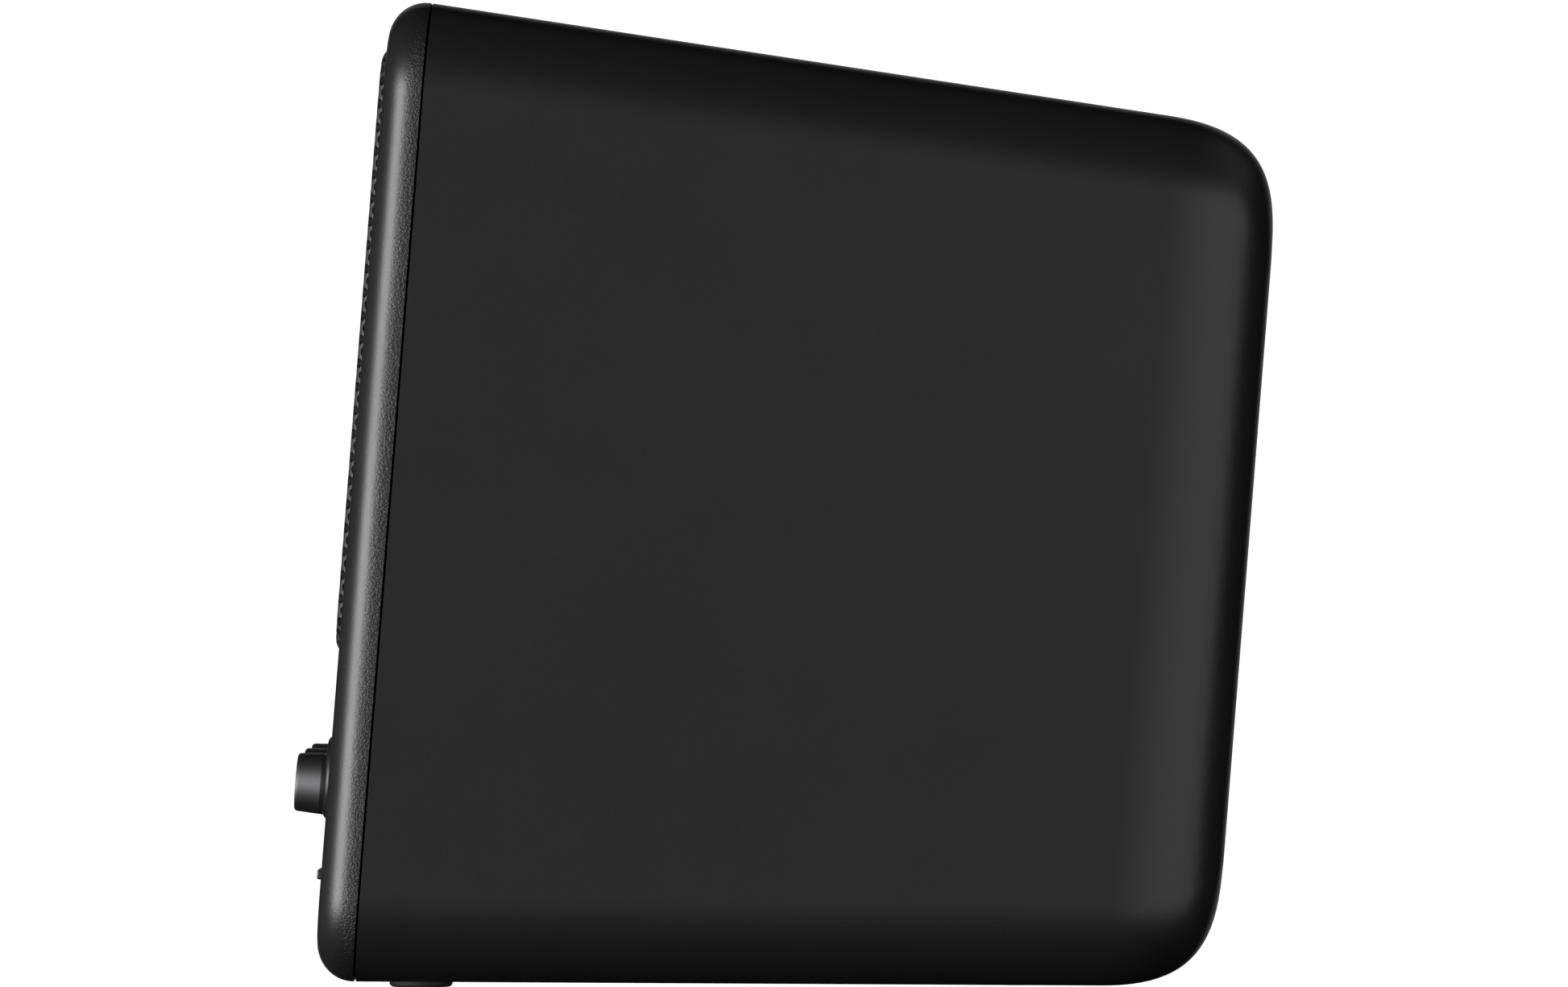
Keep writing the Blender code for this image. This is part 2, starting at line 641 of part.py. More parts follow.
def screw(name, x, y, z, towards, length, mat, frame):
    """A pan-head screw whose head's seat is at y. Its shank points towards +Y (1) or -Y (-1)."""
    head = [(0, -1.8), (2.2, -1.6), (3, -0.7), (3, 0), (1.3, 0), (1.3, length - 1), (0, length)]
    turned(name, [(r * MM, towards * d * MM) for r, d in head], mat, at=(x, y, z), segments=10, closed=False,
           frame=frame)


def make_fasteners(frame, steel):
    for number, (x, z) in enumerate(driver_screw_places(), 1):
        screw(f"driver_screw_{number}", x, -4.2 * MM, z, 1, 9, steel, frame)
    for number, (x, z) in enumerate(baffle_screw_places(), 1):
        screw(f"baffle_screw_{number}", x, POCKET_FLOOR - GAP, z, 1, 18, steel, frame)
    for number, (x, z) in enumerate(panel_screw_places(), 1):
        screw(f"panel_screw_{number}", x, BAY_FLOOR + 2 * GAP + 2 * MM, z, -1, 8, steel, frame)


def make_feet(rubber):
    for name, x, y, top in foot_places():
        edge = top / 3
        profile = [(0, 0), (FOOT_R - 2.2 * edge, 0), (FOOT_R - 0.7 * edge, 0.4 * edge), (FOOT_R, edge * 1.2)]
        profile += [(FOOT_R, top), (0, top)]
        foot = turned(name, profile, rubber, at=(x, y, 0), closed=False)
        foot.rotation_euler.x = math.pi / 2


# Places that several pieces share


def mm_points(*points):
    return [(r * MM, y * MM) for r, y in points]


def ring(inner, outer, y0, y1):
    return mm_points((inner, y0), (outer, y0), (outer, y1), (inner, y1))


def control_names():
    return (("volume", -KNOB_PITCH), ("bass", 0.0), ("treble", KNOB_PITCH))


def corner_places(reach_x, reach_z, z):
    return [(sx * reach_x, z + sz * reach_z) for sx, sz in ((-1, 1), (1, 1), (1, -1), (-1, -1))]


def driver_screw_places():
    reach = DRIVER_SCREW_R * math.sqrt(0.5)
    return corner_places(reach, reach, GRILLE_Z)


def baffle_screw_places():
    return corner_places(BAFFLE_SCREW_REACH, BAFFLE_SCREW_REACH, GRILLE_Z)


def panel_screw_places():
    return corner_places(29.4 * MM, 24.4 * MM, BAY_Z)


def centre_height():
    """Height of the face frame's centre when the front feet stand FOOT_PROUD below the cabinet's bottom."""
    drop = FRONT_FOOT * math.sin(TILT) + (HEIGHT / 2 - FRONT_FOOT * math.tan(DRAFT)) * math.cos(TILT)
    return FOOT_PROUD + drop


def foot_places():
    """(name, x, y, height of its top) of each foot in the row's own frame."""
    seam_y = CENTRE_Y - HEIGHT / 2 * math.sin(TILT)
    front, rear = seam_y + FRONT_FOOT, seam_y + REAR_FOOT
    return [
        ("foot_front_left", -50 * MM, front, 2.4 * MM), ("foot_front_right", 50 * MM, front, 2.4 * MM),
        ("foot_rear_left", -38 * MM, rear, 1.5 * MM), ("foot_rear_right", 38 * MM, rear, 1.5 * MM),
    ]


def make_materials():
    return {
        "black": material("textured_black", (0.022, 0.022, 0.023), 0.5),
        "knob": material("satin_black", (0.02, 0.02, 0.02), 0.35),
        "grille": material("grille_black", (0.025, 0.025, 0.026), 0.4, 0.3),
        "painted": material("painted_black", (0.02, 0.02, 0.021), 0.45, 0.2),
        "rubber": material("rubber", (0.012, 0.012, 0.012), 0.7),
        "steel": material("bright_steel", (0.6, 0.6, 0.61), 0.3, 1.0),
        "ferrite": material("ferrite", (0.05, 0.05, 0.052), 0.6),
        "copper": material("copper_winding", (0.7, 0.35, 0.15), 0.35, 0.9),
        "paper": material("cone_paper", (0.03, 0.03, 0.032), 0.8),
        "cloth": material("spider_cloth", (0.45, 0.3, 0.1), 0.9),
        "board": material("circuit_board", (0.02, 0.12, 0.05), 0.5),
        "pot": material("dark_plastic", (0.04, 0.04, 0.04), 0.5),
        "pale": material("pale_plastic", (0.7, 0.7, 0.68), 0.4),
        "aluminium": material("aluminium", (0.7, 0.7, 0.72), 0.35, 1.0),
        "sleeve": material("capacitor_sleeve", (0.03, 0.04, 0.12), 0.35),
        "tape": material("transformer_tape", (0.6, 0.5, 0.1), 0.5),
        "foam": material("damping_foam", (0.12, 0.12, 0.12), 0.95),
        "wire_positive": material("red_wire", (0.5, 0.03, 0.03), 0.5),
        "wire_negative": material("black_wire", (0.02, 0.02, 0.02), 0.5),
    }


def main():
    clear_scene()
    mats = make_materials()
    frame = bpy.data.objects.new("face_frame", None)
    bpy.context.scene.collection.objects.link(frame)
    frame.location = (0, CENTRE_Y, centre_height())
    frame.rotation_euler.x = -TILT
    make_cabinet(frame, mats["black"])
    make_baffle(frame, mats["black"])
    make_front_trim(frame, mats["black"], mats["grille"], mats["rubber"])
    make_driver(frame, mats)
    make_controls(frame, mats)
    make_back(frame, mats)
    make_electronics(frame, mats)
    make_fasteners(frame, mats["steel"])
    make_feet(mats["rubber"])


main()
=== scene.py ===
"""Looks of the desk speaker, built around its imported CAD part.

Pieces are modelled in the part's face frame, in millimetres: X to the right, Y from the seam plane
towards the back, Z up the leaning front. FACE carries them into the row frame, in metres.
"""

import json
import math

import bmesh
import bpy
from mathutils import Matrix, Vector


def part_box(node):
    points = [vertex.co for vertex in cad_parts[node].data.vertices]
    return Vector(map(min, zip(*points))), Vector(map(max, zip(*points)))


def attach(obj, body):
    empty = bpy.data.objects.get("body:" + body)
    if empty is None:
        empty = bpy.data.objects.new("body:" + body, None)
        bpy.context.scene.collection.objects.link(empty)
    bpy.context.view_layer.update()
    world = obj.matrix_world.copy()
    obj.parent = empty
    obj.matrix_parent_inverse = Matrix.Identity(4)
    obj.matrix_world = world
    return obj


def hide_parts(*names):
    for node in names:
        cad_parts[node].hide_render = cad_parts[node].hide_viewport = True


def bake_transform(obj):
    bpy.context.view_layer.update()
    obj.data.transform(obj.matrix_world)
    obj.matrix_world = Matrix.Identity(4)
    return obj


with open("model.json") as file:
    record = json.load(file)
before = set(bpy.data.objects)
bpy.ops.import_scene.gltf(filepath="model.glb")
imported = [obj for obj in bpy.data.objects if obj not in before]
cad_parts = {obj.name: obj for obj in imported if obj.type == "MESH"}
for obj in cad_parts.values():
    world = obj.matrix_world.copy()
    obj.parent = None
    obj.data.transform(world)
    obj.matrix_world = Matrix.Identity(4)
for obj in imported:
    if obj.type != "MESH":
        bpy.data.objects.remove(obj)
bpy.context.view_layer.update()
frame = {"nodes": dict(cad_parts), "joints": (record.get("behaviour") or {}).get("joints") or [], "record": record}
scene = bpy.context.scene

MM = 0.001
KNOB_PITCH, KNOB_Z, KNOB_PIVOT_Y = 37.5, -63.0, -8.3  # where the volume joint is, in the face frame


def face_matrix():
    """The face frame, worked out from the volume joint, whose axis is the face frame's Y."""
    turn = next(j for j in frame["joints"] if j["name"] == "volume_turn")
    y = Vector(turn["axis"]).normalized()
    x = Vector((1, 0, 0))
    z = x.cross(y)
    origin = Vector(turn["pos_m"]) - MM * (-KNOB_PITCH * x + KNOB_PIVOT_Y * y + KNOB_Z * z)
    columns = Matrix((x * MM, y * MM, z * MM)).transposed().to_4x4()
    return Matrix.Translation(origin) @ columns


FACE = face_matrix()
INTO_FACE = FACE.inverted()


def face_box(name):
    """Lowest and highest corner of a CAD node in the face frame, in millimetres."""
    points = [INTO_FACE @ v.co for v in frame["nodes"][name].data.vertices]
    return [Vector([pick(p[i] for p in points) for i in range(3)]) for pick in (min, max)]


BAFFLE_LOW, BAFFLE_HIGH = face_box("front_baffle")
SHELL_LOW, SHELL_HIGH = face_box("cabinet_shell")
GRILLE_LOW, GRILLE_HIGH = face_box("speaker_grille")
PLATE_LOW, PLATE_HIGH = face_box("control_plate")
KNOB_LOW, KNOB_HIGH = face_box("volume_knob")
BUTTON_LOW, BUTTON_HIGH = face_box("power_button")
PANEL_LOW, PANEL_HIGH = face_box("rear_panel")
INLET_LOW, INLET_HIGH = face_box("mains_inlet")
PORT_LOW, PORT_HIGH = face_box("bass_port")

# Cabinet
WIDTH, HEIGHT = BAFFLE_HIGH.x - BAFFLE_LOW.x, BAFFLE_HIGH.z - BAFFLE_LOW.z
DEPTH, SEAM, FRONT = SHELL_HIGH.y, SHELL_LOW.y, BAFFLE_LOW.y
DRAFT = math.radians(4.06)  # how much the bucket narrows towards the rear
CORNER = 19  # corner radius of the front's outline
WALL, REAR_WALL = 3.4, 5
REAR_REACH, REAR_FULLNESS = 24, 0.72  # how far the rear edge's blend reaches, and how full it is
ROUND_OVER = 8.2  # how far the front's rounded edge reaches inwards
BAFFLE_BACK = 3
POCKET_FLOOR = -1.2
EDGE = 0.3  # rounding of moulded edges

# Grille
GRILLE_W, GRILLE_H = GRILLE_HIGH.x - GRILLE_LOW.x, GRILLE_HIGH.z - GRILLE_LOW.z
GRILLE_Z = (GRILLE_HIGH.z + GRILLE_LOW.z) / 2
GRILLE_CORNER, GRILLE_ROLL = 9.8, 3.0  # radii of its corners and of its rolled edge
SHEET = 0.9
HOLE_PITCH, HOLE_R = 2.87, 1.08
HOLES_DOWN = 0.27  # how far below the grille's middle the middle row of holes lies
LAST_HOLE = 3.2  # how far round the roll, measured on the flat sheet, the last hole's centre may be
CELLS_END = 4.5  # where the pattern's cells end and the plain skirt starts

# Controls
PLATE_W, PLATE_H = PLATE_HIGH.x - PLATE_LOW.x, PLATE_HIGH.z - PLATE_LOW.z
PLATE_Z = (PLATE_HIGH.z + PLATE_LOW.z) / 2
KNOB_PLACES = {"volume": -KNOB_PITCH, "bass": 0.0, "treble": KNOB_PITCH}
BUTTON_X, BUTTON_Z = (BUTTON_HIGH.x + BUTTON_LOW.x) / 2, (BUTTON_HIGH.z + BUTTON_LOW.z) / 2
BUTTON_W, BUTTON_H = 12, 2.13
LED_X, AUX_X = 24.5, -37.5

# Back
BAY_W, BAY_H, BAY_Z = 67, 57, -32  # the jack panel's bay
BAY_FLOOR, BAY_FLARE, BAY_CORNER = 169, 4, 5
INLET_X, INLET_Z = (INLET_HIGH.x + INLET_LOW.x) / 2, (INLET_HIGH.z + INLET_LOW.z) / 2
RCA_X, RCA_Z = 19, {"left": -31, "right": -47}
PORT_Z = (PORT_HIGH.z + PORT_LOW.z) / 2
PORT_IN, PORT_OUT = 13, 15  # radii of the bass port's tube

# Camera, in metres and degrees
CAMERA_PLACE, CAMERA_TURN = (2.905, 0.012027, 0.1281), (89.521, 0.002, 90.238)
LENS, SENSOR = 310.26, 36

# Light: what each softbox spans in azimuth and elevation, and its radiance
WORLD = 0.006
LIGHTS = {
    "strip_front_right": ((13, 45), (-18, 18), 11.5),
    "strip_tail": ((45, 76), (-14, 14), 1.7),
    "soft_rear_right": ((107, 175), (-24, 24), 1.2),
    "soft_front": ((-50, 5), (-20, 20), 0.07),
    "soft_top": ((0, 60), (75, 105), 0.05),
    "soft_left": ((250, 286), (-15, 25), 0.8),
    "soft_back_high": ((165, 215), (22, 58), 0.22),
    "soft_front_right_high": ((30, 80), (20, 45), 0.35),
}

ARC = 18  # segments in each rounded corner
ROUND = 96  # segments round a turned piece


# Materials


def node(tree, kind, inputs=None, **settings):
    """A shader node. An input given as a socket is linked, anything else is its value."""
    made = tree.nodes.new("ShaderNode" + kind)
    for key, value in settings.items():
        setattr(made, key, value)
    for key, value in (inputs or {}).items():
        if isinstance(value, bpy.types.NodeSocket):
            tree.links.new(value, made.inputs[key])
        else:
            made.inputs[key].default_value = value
    return made


def surface(name, dark, light, rough, grain, bump, patch=0.03, stretch=(1, 1, 1), distortion=1.0,
            fade=None, lathe=False, **shader):
    """A procedural finish.

    dark and light are the ends of its colour, rough the ends of its roughness, grain and patch the size of
    its fine and broad variation in metres, and bump the height of the grain in metres. fade is two depths
    in the face frame, between which the grain grows from faint to full, and lathe gives it the stretched
    highlights of a piece turned about Y.
    """
    made = bpy.data.materials.new(name)
    made.use_nodes = True
    tree = made.node_tree
    principled = tree.nodes["Principled BSDF"]
    for key, value in shader.items():
        principled.inputs[key.replace("_", " ")].default_value = value
    place = node(tree, "TexCoord").outputs["Object"]
    fine_place = node(tree, "Mapping", {"Vector": place, "Scale": stretch}).outputs["Vector"]
    fine = node(tree, "TexNoise", {
        "Vector": fine_place, "Scale": 1 / grain, "Detail": 3, "Roughness": 0.55, "Distortion": distortion,
    }).outputs["Fac"]
    broad = node(tree, "TexNoise", {"Vector": place, "Scale": 1 / patch, "Detail": 4}).outputs["Fac"]
    mixed = node(tree, "MapRange", {"Value": fine, "From Min": 0.3, "From Max": 0.7}).outputs["Result"]
    blend = node(tree, "Mix", {0: 0.5, 2: mixed, 3: broad}, data_type="FLOAT").outputs[0]
    colour = node(tree, "Mix", {0: blend, 6: (*dark, 1), 7: (*light, 1)}, data_type="RGBA").outputs[2]
    rough = node(tree, "MapRange", {"Value": blend, "To Min": rough[0], "To Max": rough[1]}).outputs["Result"]
    relief = node(tree, "Bump", {"Height": fine, "Strength": 1.0, "Distance": bump})
    if fade:
        place_in_face, turn, scale = INTO_FACE.decompose()
        in_face = node(tree, "Mapping", {
            "Vector": place, "Location": place_in_face, "Rotation": turn.to_euler(), "Scale": scale,
        }).outputs["Vector"]
        depth = node(tree, "SeparateXYZ", {"Vector": in_face}).outputs["Y"]
        strength = node(tree, "MapRange", {
            "Value": depth, "From Min": fade[0], "From Max": fade[1], "To Min": 0.1, "To Max": 1.0,
        }).outputs["Result"]
        tree.links.new(strength, relief.inputs["Strength"])
    if lathe:
        tangent = node(tree, "Tangent", direction_type="RADIAL", axis="Y").outputs["Tangent"]
        tree.links.new(tangent, principled.inputs["Tangent"])
    tree.links.new(colour, principled.inputs["Base Color"])
    tree.links.new(rough, principled.inputs["Roughness"])
    tree.links.new(relief.outputs["Normal"], principled.inputs["Normal"])
    return made


def grey(low, high):
    """The two ends of a neutral colour, a touch blue."""
    blue = 1.03
    return (low, low, low * blue), (high, high, high * blue)


def make_finishes():
    """One finish for each of the record's slots, and a few more for single pieces."""
    um = 1e-6
    return {
        "textured_black": surface("textured_black_grain", *grey(0.007, 0.011), (0.36, 0.46), 0.00042,
                                  14 * um, distortion=1.6),
        "baffle_black": surface("textured_black_baffle", *grey(0.008, 0.013), (0.32, 0.42), 0.0005,
                                290 * um, distortion=0.5, fade=(-3.8, -1.6)),
        "satin_black": surface("satin_black_key", *grey(0.02, 0.03), (0.26, 0.38), 0.0004, 5 * um,
                               stretch=(0.12, 1, 0.12)),
        "knob_black": surface("satin_black_turned", *grey(0.17, 0.21), (0.63, 0.69), 0.0004, 3 * um,
                              lathe=True, Metallic=1.0, Anisotropic=0.68, Anisotropic_Rotation=0.25),
        "black_zinc": surface("black_zinc_plate", *grey(0.04, 0.07), (0.3, 0.45), 0.0006, 4 * um,
                              Metallic=1.0),
        "grille_black": surface("grille_powder_coat", *grey(0.008, 0.014), (0.52, 0.6), 0.00022, 6 * um,
                                Specular_IOR_Level=1.0),
        "painted_black": surface("painted_steel", *grey(0.014, 0.024), (0.36, 0.5), 0.0003, 6 * um),
        "rubber": surface("moulded_rubber", *grey(0.007, 0.014), (0.6, 0.8), 0.0003, 10 * um),
        "bright_steel": surface("nickel_plate", *grey(0.5, 0.66), (0.16, 0.32), 0.0006, 4 * um,
                                Metallic=1.0),
        "ferrite": surface("ferrite_grain", *grey(0.03, 0.06), (0.5, 0.75), 0.0005, 15 * um),
        "copper_winding": surface("enamelled_copper", (0.55, 0.24, 0.09), (0.75, 0.38, 0.17), (0.2, 0.35),
                                  0.0002, 20 * um, stretch=(0.02, 1, 0.02), Metallic=1.0),
        "cone_paper": surface("pressed_paper", *grey(0.012, 0.035), (0.7, 0.9), 0.0007, 30 * um,
                              distortion=2.5),
        "spider_cloth": surface("resin_cloth", (0.3, 0.19, 0.06), (0.5, 0.34, 0.12), (0.8, 0.95), 0.0005,
                                40 * um),
        "circuit_board": surface("solder_mask", (0.01, 0.07, 0.03), (0.02, 0.14, 0.06), (0.3, 0.45), 0.0015,
                                 12 * um, distortion=4.0),
        "dark_plastic": surface("nylon_black", *grey(0.015, 0.028), (0.32, 0.46), 0.0005, 6 * um),
        "pale_plastic": surface("frosted_clear", (0.62, 0.63, 0.6), (0.74, 0.75, 0.72), (0.2, 0.34), 0.0004,
                                4 * um),
        "aluminium": surface("extruded_aluminium", *grey(0.55, 0.7), (0.28, 0.42), 0.0003, 5 * um,
                             stretch=(1, 0.05, 1), Metallic=1.0),
        "capacitor_sleeve": surface("shrink_sleeve", (0.01, 0.015, 0.06), (0.02, 0.03, 0.1), (0.25, 0.38),
                                    0.001, 5 * um),
        "transformer_tape": surface("polyester_tape", (0.5, 0.38, 0.06), (0.66, 0.52, 0.1), (0.3, 0.5),
                                    0.0008, 20 * um, stretch=(1, 0.1, 1)),
        "damping_foam": surface("open_cell_foam", *grey(0.05, 0.14), (0.9, 1.0), 0.0012, 250 * um),
        "red_wire": surface("red_insulation", (0.38, 0.02, 0.02), (0.5, 0.035, 0.03), (0.35, 0.5), 0.0006,
                            5 * um),
        "black_wire": surface("black_insulation", *grey(0.014, 0.026), (0.35, 0.5), 0.0006, 5 * um),
        "signal_red": surface("red_insulator", (0.42, 0.012, 0.01), (0.55, 0.022, 0.018), (0.28, 0.4),
                              0.0005, 4 * um),
        "signal_white": surface("white_insulator", (0.6, 0.6, 0.57), (0.72, 0.72, 0.69), (0.28, 0.4), 0.0005,
                                4 * um),
        "mark_white": surface("printed_mark", (0.55, 0.55, 0.54), (0.68, 0.68, 0.66), (0.45, 0.6), 0.0002,
                              6 * um),
    }


FINISH = make_finishes()


# Building blocks


def piece(name, bm, slot, body="cabinet", stands_for=(), finish=None, sharp=35, matrix=FACE):
    """Makes the bmesh a piece that rides on a body and stands for those CAD nodes.

    With no slot it is a bare object, for a boolean's helper or the stage.
    """
    bmesh.ops.remove_doubles(bm, verts=bm.verts, dist=1e-4)
    bmesh.ops.recalc_face_normals(bm, faces=bm.faces)
    bm.transform(matrix)
    mesh = bpy.data.meshes.new(name)
    bm.to_mesh(mesh)
    bm.free()
    mesh.shade_smooth()
    mesh.set_sharp_from_angle(angle=math.radians(sharp))
    obj = bpy.data.objects.new(name, mesh)
    scene.collection.objects.link(obj)
    if slot is None:
        return obj
    mesh.materials.append(FINISH[finish or slot])
    if body:
        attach(obj, body)
    if stands_for:
        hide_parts(*stands_for)
    return obj


def add_loft(bm, rings, closed=False, capped=True):
    """Faces through rings of points of equal count; a ring of one point is a pole."""
    loops = [[bm.verts.new(p) for p in ring] for ring in rings]
    pairs = list(zip(loops, loops[1:])) + ([(loops[-1], loops[0])] if closed else [])
    for a, b in pairs:
        for i in range(max(len(a), len(b))):
            corners = [a[i % len(a)], a[(i + 1) % len(a)], b[(i + 1) % len(b)], b[i % len(b)]]
            bm.faces.new(list(dict.fromkeys(corners)))
    if capped and not closed:
        for loop in (loops[0], loops[-1]):
            if len(loop) > 2:
                bm.faces.new(loop)


def lofted(rings, closed=False):
    """A bmesh lofted through rings, with its ends capped, or joined up if closed."""
    bm = bmesh.new()
    add_loft(bm, rings, closed)
    return bm


def turned(profile, x=0.0, z=0.0, segments=ROUND, closed=True):
    """A bmesh turned about Y at (x, z) through (radius, y) points. A radius of 0 is a pole."""
    rings = []
    for radius, y in profile:
        count = segments if radius > 0 else 1
        angles = [2 * math.pi * (i + 0.5) / segments for i in range(count)]
        rings.append([(x + radius * math.cos(a), y, z + radius * math.sin(a)) for a in angles])
    return lofted(rings, closed and profile[0][0] > 0)


def outline(width, height, radius, y, x=0.0, z=0.0, arc=ARC):
    """A rounded rectangle in the XZ plane at depth y."""
    points = []
    for quarter in range(4):
        cx = (width / 2 - radius) * (1 if quarter in (0, 3) else -1)
        cz = (height / 2 - radius) * (1 if quarter in (0, 1) else -1)
        for step in range(arc + 1):
            a = math.pi / 2 * (quarter + step / arc)
            points.append((x + cx + radius * math.cos(a), y, z + cz + radius * math.sin(a)))
    return points


def slab(width, height, radius, y0, y1, x=0.0, z=0.0, arc=8):
    """A plate with rounded corners between two depths."""
    return lofted([outline(width, height, radius, y, x, z, arc) for y in (y0, y1)])


def block(low, high):
    """A block between two opposite corners."""
    (x0, y0, z0), (x1, y1, z1) = low, high
    return lofted([[(x0, y, z0), (x1, y, z0), (x1, y, z1), (x0, y, z1)] for y in (y0, y1)])


def combine(obj, steps, sharp=None):
    """Applies boolean steps to obj's mesh, each an operation, a bmesh and perhaps its matrix."""
    helpers = []
    for number, (operation, bm, *matrix) in enumerate(steps):
        helper = piece(f"helper_{number}", bm, None, matrix=matrix[0] if matrix else FACE)
        modifier = obj.modifiers.new(helper.name, "BOOLEAN")
        modifier.object = helper
        modifier.operation = operation
        modifier.solver = "EXACT"
        helpers.append(helper)
    settle(obj, sharp)
    for helper in helpers:
        bpy.data.objects.remove(helper)


def settle(obj, sharp=None):
    """Applies an object's modifiers, keeps its own finish, and marks its edges over that angle sharp."""
    bpy.context.view_layer.update()
    evaluated = obj.evaluated_get(bpy.context.evaluated_depsgraph_get())
    shaped = bpy.data.meshes.new_from_object(evaluated)
    obj.modifiers.clear()
    finish = list(obj.data.materials)
    obj.data = shaped
    shaped.materials.clear()
    for used in finish:
        shaped.materials.append(used)
    shaped.polygons.foreach_set("material_index", [0] * len(shaped.polygons))
    if sharp:
        shaped.set_sharp_from_angle(angle=math.radians(sharp))


def soften(obj, width=EDGE, segments=2, angle=40):
    """Rounds an object's sharp edges and keeps its flat faces flat in shading."""
    bevel = obj.modifiers.new("edges", "BEVEL")
    bevel.width = width * MM
    bevel.segments = segments
    bevel.limit_method = "ANGLE"
    bevel.angle_limit = math.radians(angle)
    bevel.use_clamp_overlap = True
    bevel.miter_outer = "MITER_ARC"
    steady(obj)


def steady(obj):
    """Lets the largest faces settle the shading, so that flat faces look flat."""
    weighted = obj.modifiers.new("flat_faces", "WEIGHTED_NORMAL")
    weighted.keep_sharp = True
    weighted.weight = 80


def arc_points(centre, radius, start, end, steps):
    """(u, v) points round part of a circle, from start to end degrees."""
    points = []
    for step in range(steps + 1):
        a = math.radians(start + (end - start) * step / steps)
        points.append((centre[0] + radius * math.cos(a), centre[1] + radius * math.sin(a)))
    return points


# Cabinet


def skin_outline(inset, y, corner):
    """The front's outline, drawn in by inset, at depth y."""
    return outline(WIDTH - 2 * inset, HEIGHT - 2 * inset, corner, y)


def cabinet_rings(skin, rear, reach, steps):
    """Outlines of the rear edge's blend, skin under the outside surface."""
    slope = math.tan(DRAFT)
    handle = reach * (1 - REAR_FULLNESS)
    sharp = Vector((rear, rear * slope + skin))
    along, inward = Vector((-math.cos(DRAFT), -math.sin(DRAFT))), Vector((0, 1))
    side_end, side_handle = sharp + along * reach, sharp + along * handle
    back_handle, back_end = sharp + inward * handle, sharp + inward * reach
    points = [side_end, side_handle, back_handle, back_end]
    rings = []
    for step in range(steps + 1):
        t = step / steps
        weights = [(1 - t) ** 3, 3 * t * (1 - t) ** 2, 3 * t * t * (1 - t), t**3]
        y, inset = sum((w * p for w, p in zip(weights, points)), Vector((0, 0)))
        blended = inset - skin - y * slope
        corner = CORNER - skin - 1 - 0.45 * blended
        rings.append(skin_outline(inset, y, corner))
    return rings


def make_shell():
    """The rear bucket, with its jack bay, port hole and foot pockets."""
    slope = math.tan(DRAFT)
    groove, lip = 3.2, 1.4  # depth of the step at the mouth, and the wall left outside it
    inner = cabinet_rings(WALL, DEPTH - REAR_WALL, REAR_REACH - WALL, 8)
    inner.insert(0, skin_outline(WALL + groove * slope, groove, CORNER - WALL))
    mouth = [
        skin_outline(lip + groove * slope, groove, CORNER - lip),
        skin_outline(lip, SEAM, CORNER - lip),
        skin_outline(SEAM * slope, SEAM, CORNER),
    ]
    outer = cabinet_rings(0.0, DEPTH, REAR_REACH, 22)
    shell = piece("cabinet_shell_moulding", lofted(inner[::-1] + mouth + outer), "textured_black",
                  stands_for=["cabinet_shell"])
    wide, tall = BAY_W + BAY_FLARE, BAY_H + BAY_FLARE
    bay = lofted([
        outline(BAY_W, BAY_H, BAY_CORNER - 1, BAY_FLOOR, z=BAY_Z, arc=10),
        outline(wide, tall, BAY_CORNER, DEPTH + 1, z=BAY_Z, arc=10),
    ])
    bay_wall, bay_end = 5, 178
    bay_walls = slab(wide + bay_wall, tall + bay_wall, BAY_CORNER, BAY_FLOOR - 6, bay_end, z=BAY_Z)
    window_w, window_h = 52, 43
    window = slab(window_w, window_h, 1, BAY_FLOOR - 9, BAY_FLOOR + 1, z=BAY_Z, arc=1)
    tube_r, rim_r, rim_seat = PORT_OUT + 0.5, 21.4, 178.5
    inside, outside = 170, 184
    port = [(0, inside), (tube_r, inside), (tube_r, rim_seat)]
    port += [(rim_r, rim_seat), (rim_r, outside), (0, outside)]
    steps = [
        ("UNION", bay_walls),
        ("DIFFERENCE", bay),
        ("DIFFERENCE", window),
        ("DIFFERENCE", turned(port, z=PORT_Z, closed=False)),
    ]
    foot_gap = 0.3
    for _, foot in feet():
        radius, top = foot["radius"] + foot_gap, foot["top"] + foot_gap
        pocket = turned([(0, -1), (radius, -1), (radius, top), (0, top)], segments=64, closed=False)
        steps.append(("DIFFERENCE", pocket, foot["matrix"]))
    combine(shell, steps)
    soften(shell)


def feet():
    """Each foot's CAD node, with its radius, height and place. A foot's own Y is the row frame's Z."""
    found = []
    for name in ("foot_front_left", "foot_front_right", "foot_rear_left", "foot_rear_right"):
        low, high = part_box(name)
        centre = (low + high) / 2
        matrix = Matrix.Translation((centre.x, centre.y, 0)) @ Matrix.Rotation(math.pi / 2, 4, "X")
        found.append((name, {
            "radius": (high.x - low.x) / 2 / MM,
            "top": high.z / MM,
            "matrix": matrix @ Matrix.Scale(MM, 4),
        }))
    return found


def make_feet():
    """Rubber feet with a rounded edge and a shallow ring underneath."""
    for name, foot in feet():
        radius, top = foot["radius"], foot["top"]
        edge, hollow = min(0.9, top * 0.55), 0.25
        rim = arc_points((radius - edge, edge), edge, -90, 0, 6)
        ring = [(0, hollow), (radius * 0.5, hollow), (radius * 0.55, 0), (radius - edge * 1.2, 0)]
        profile = ring + rim + [(radius, top), (0, top)]
        piece(f"{name}_pad", turned(profile, segments=64, closed=False), "rubber", stands_for=[name],
              matrix=foot["matrix"])


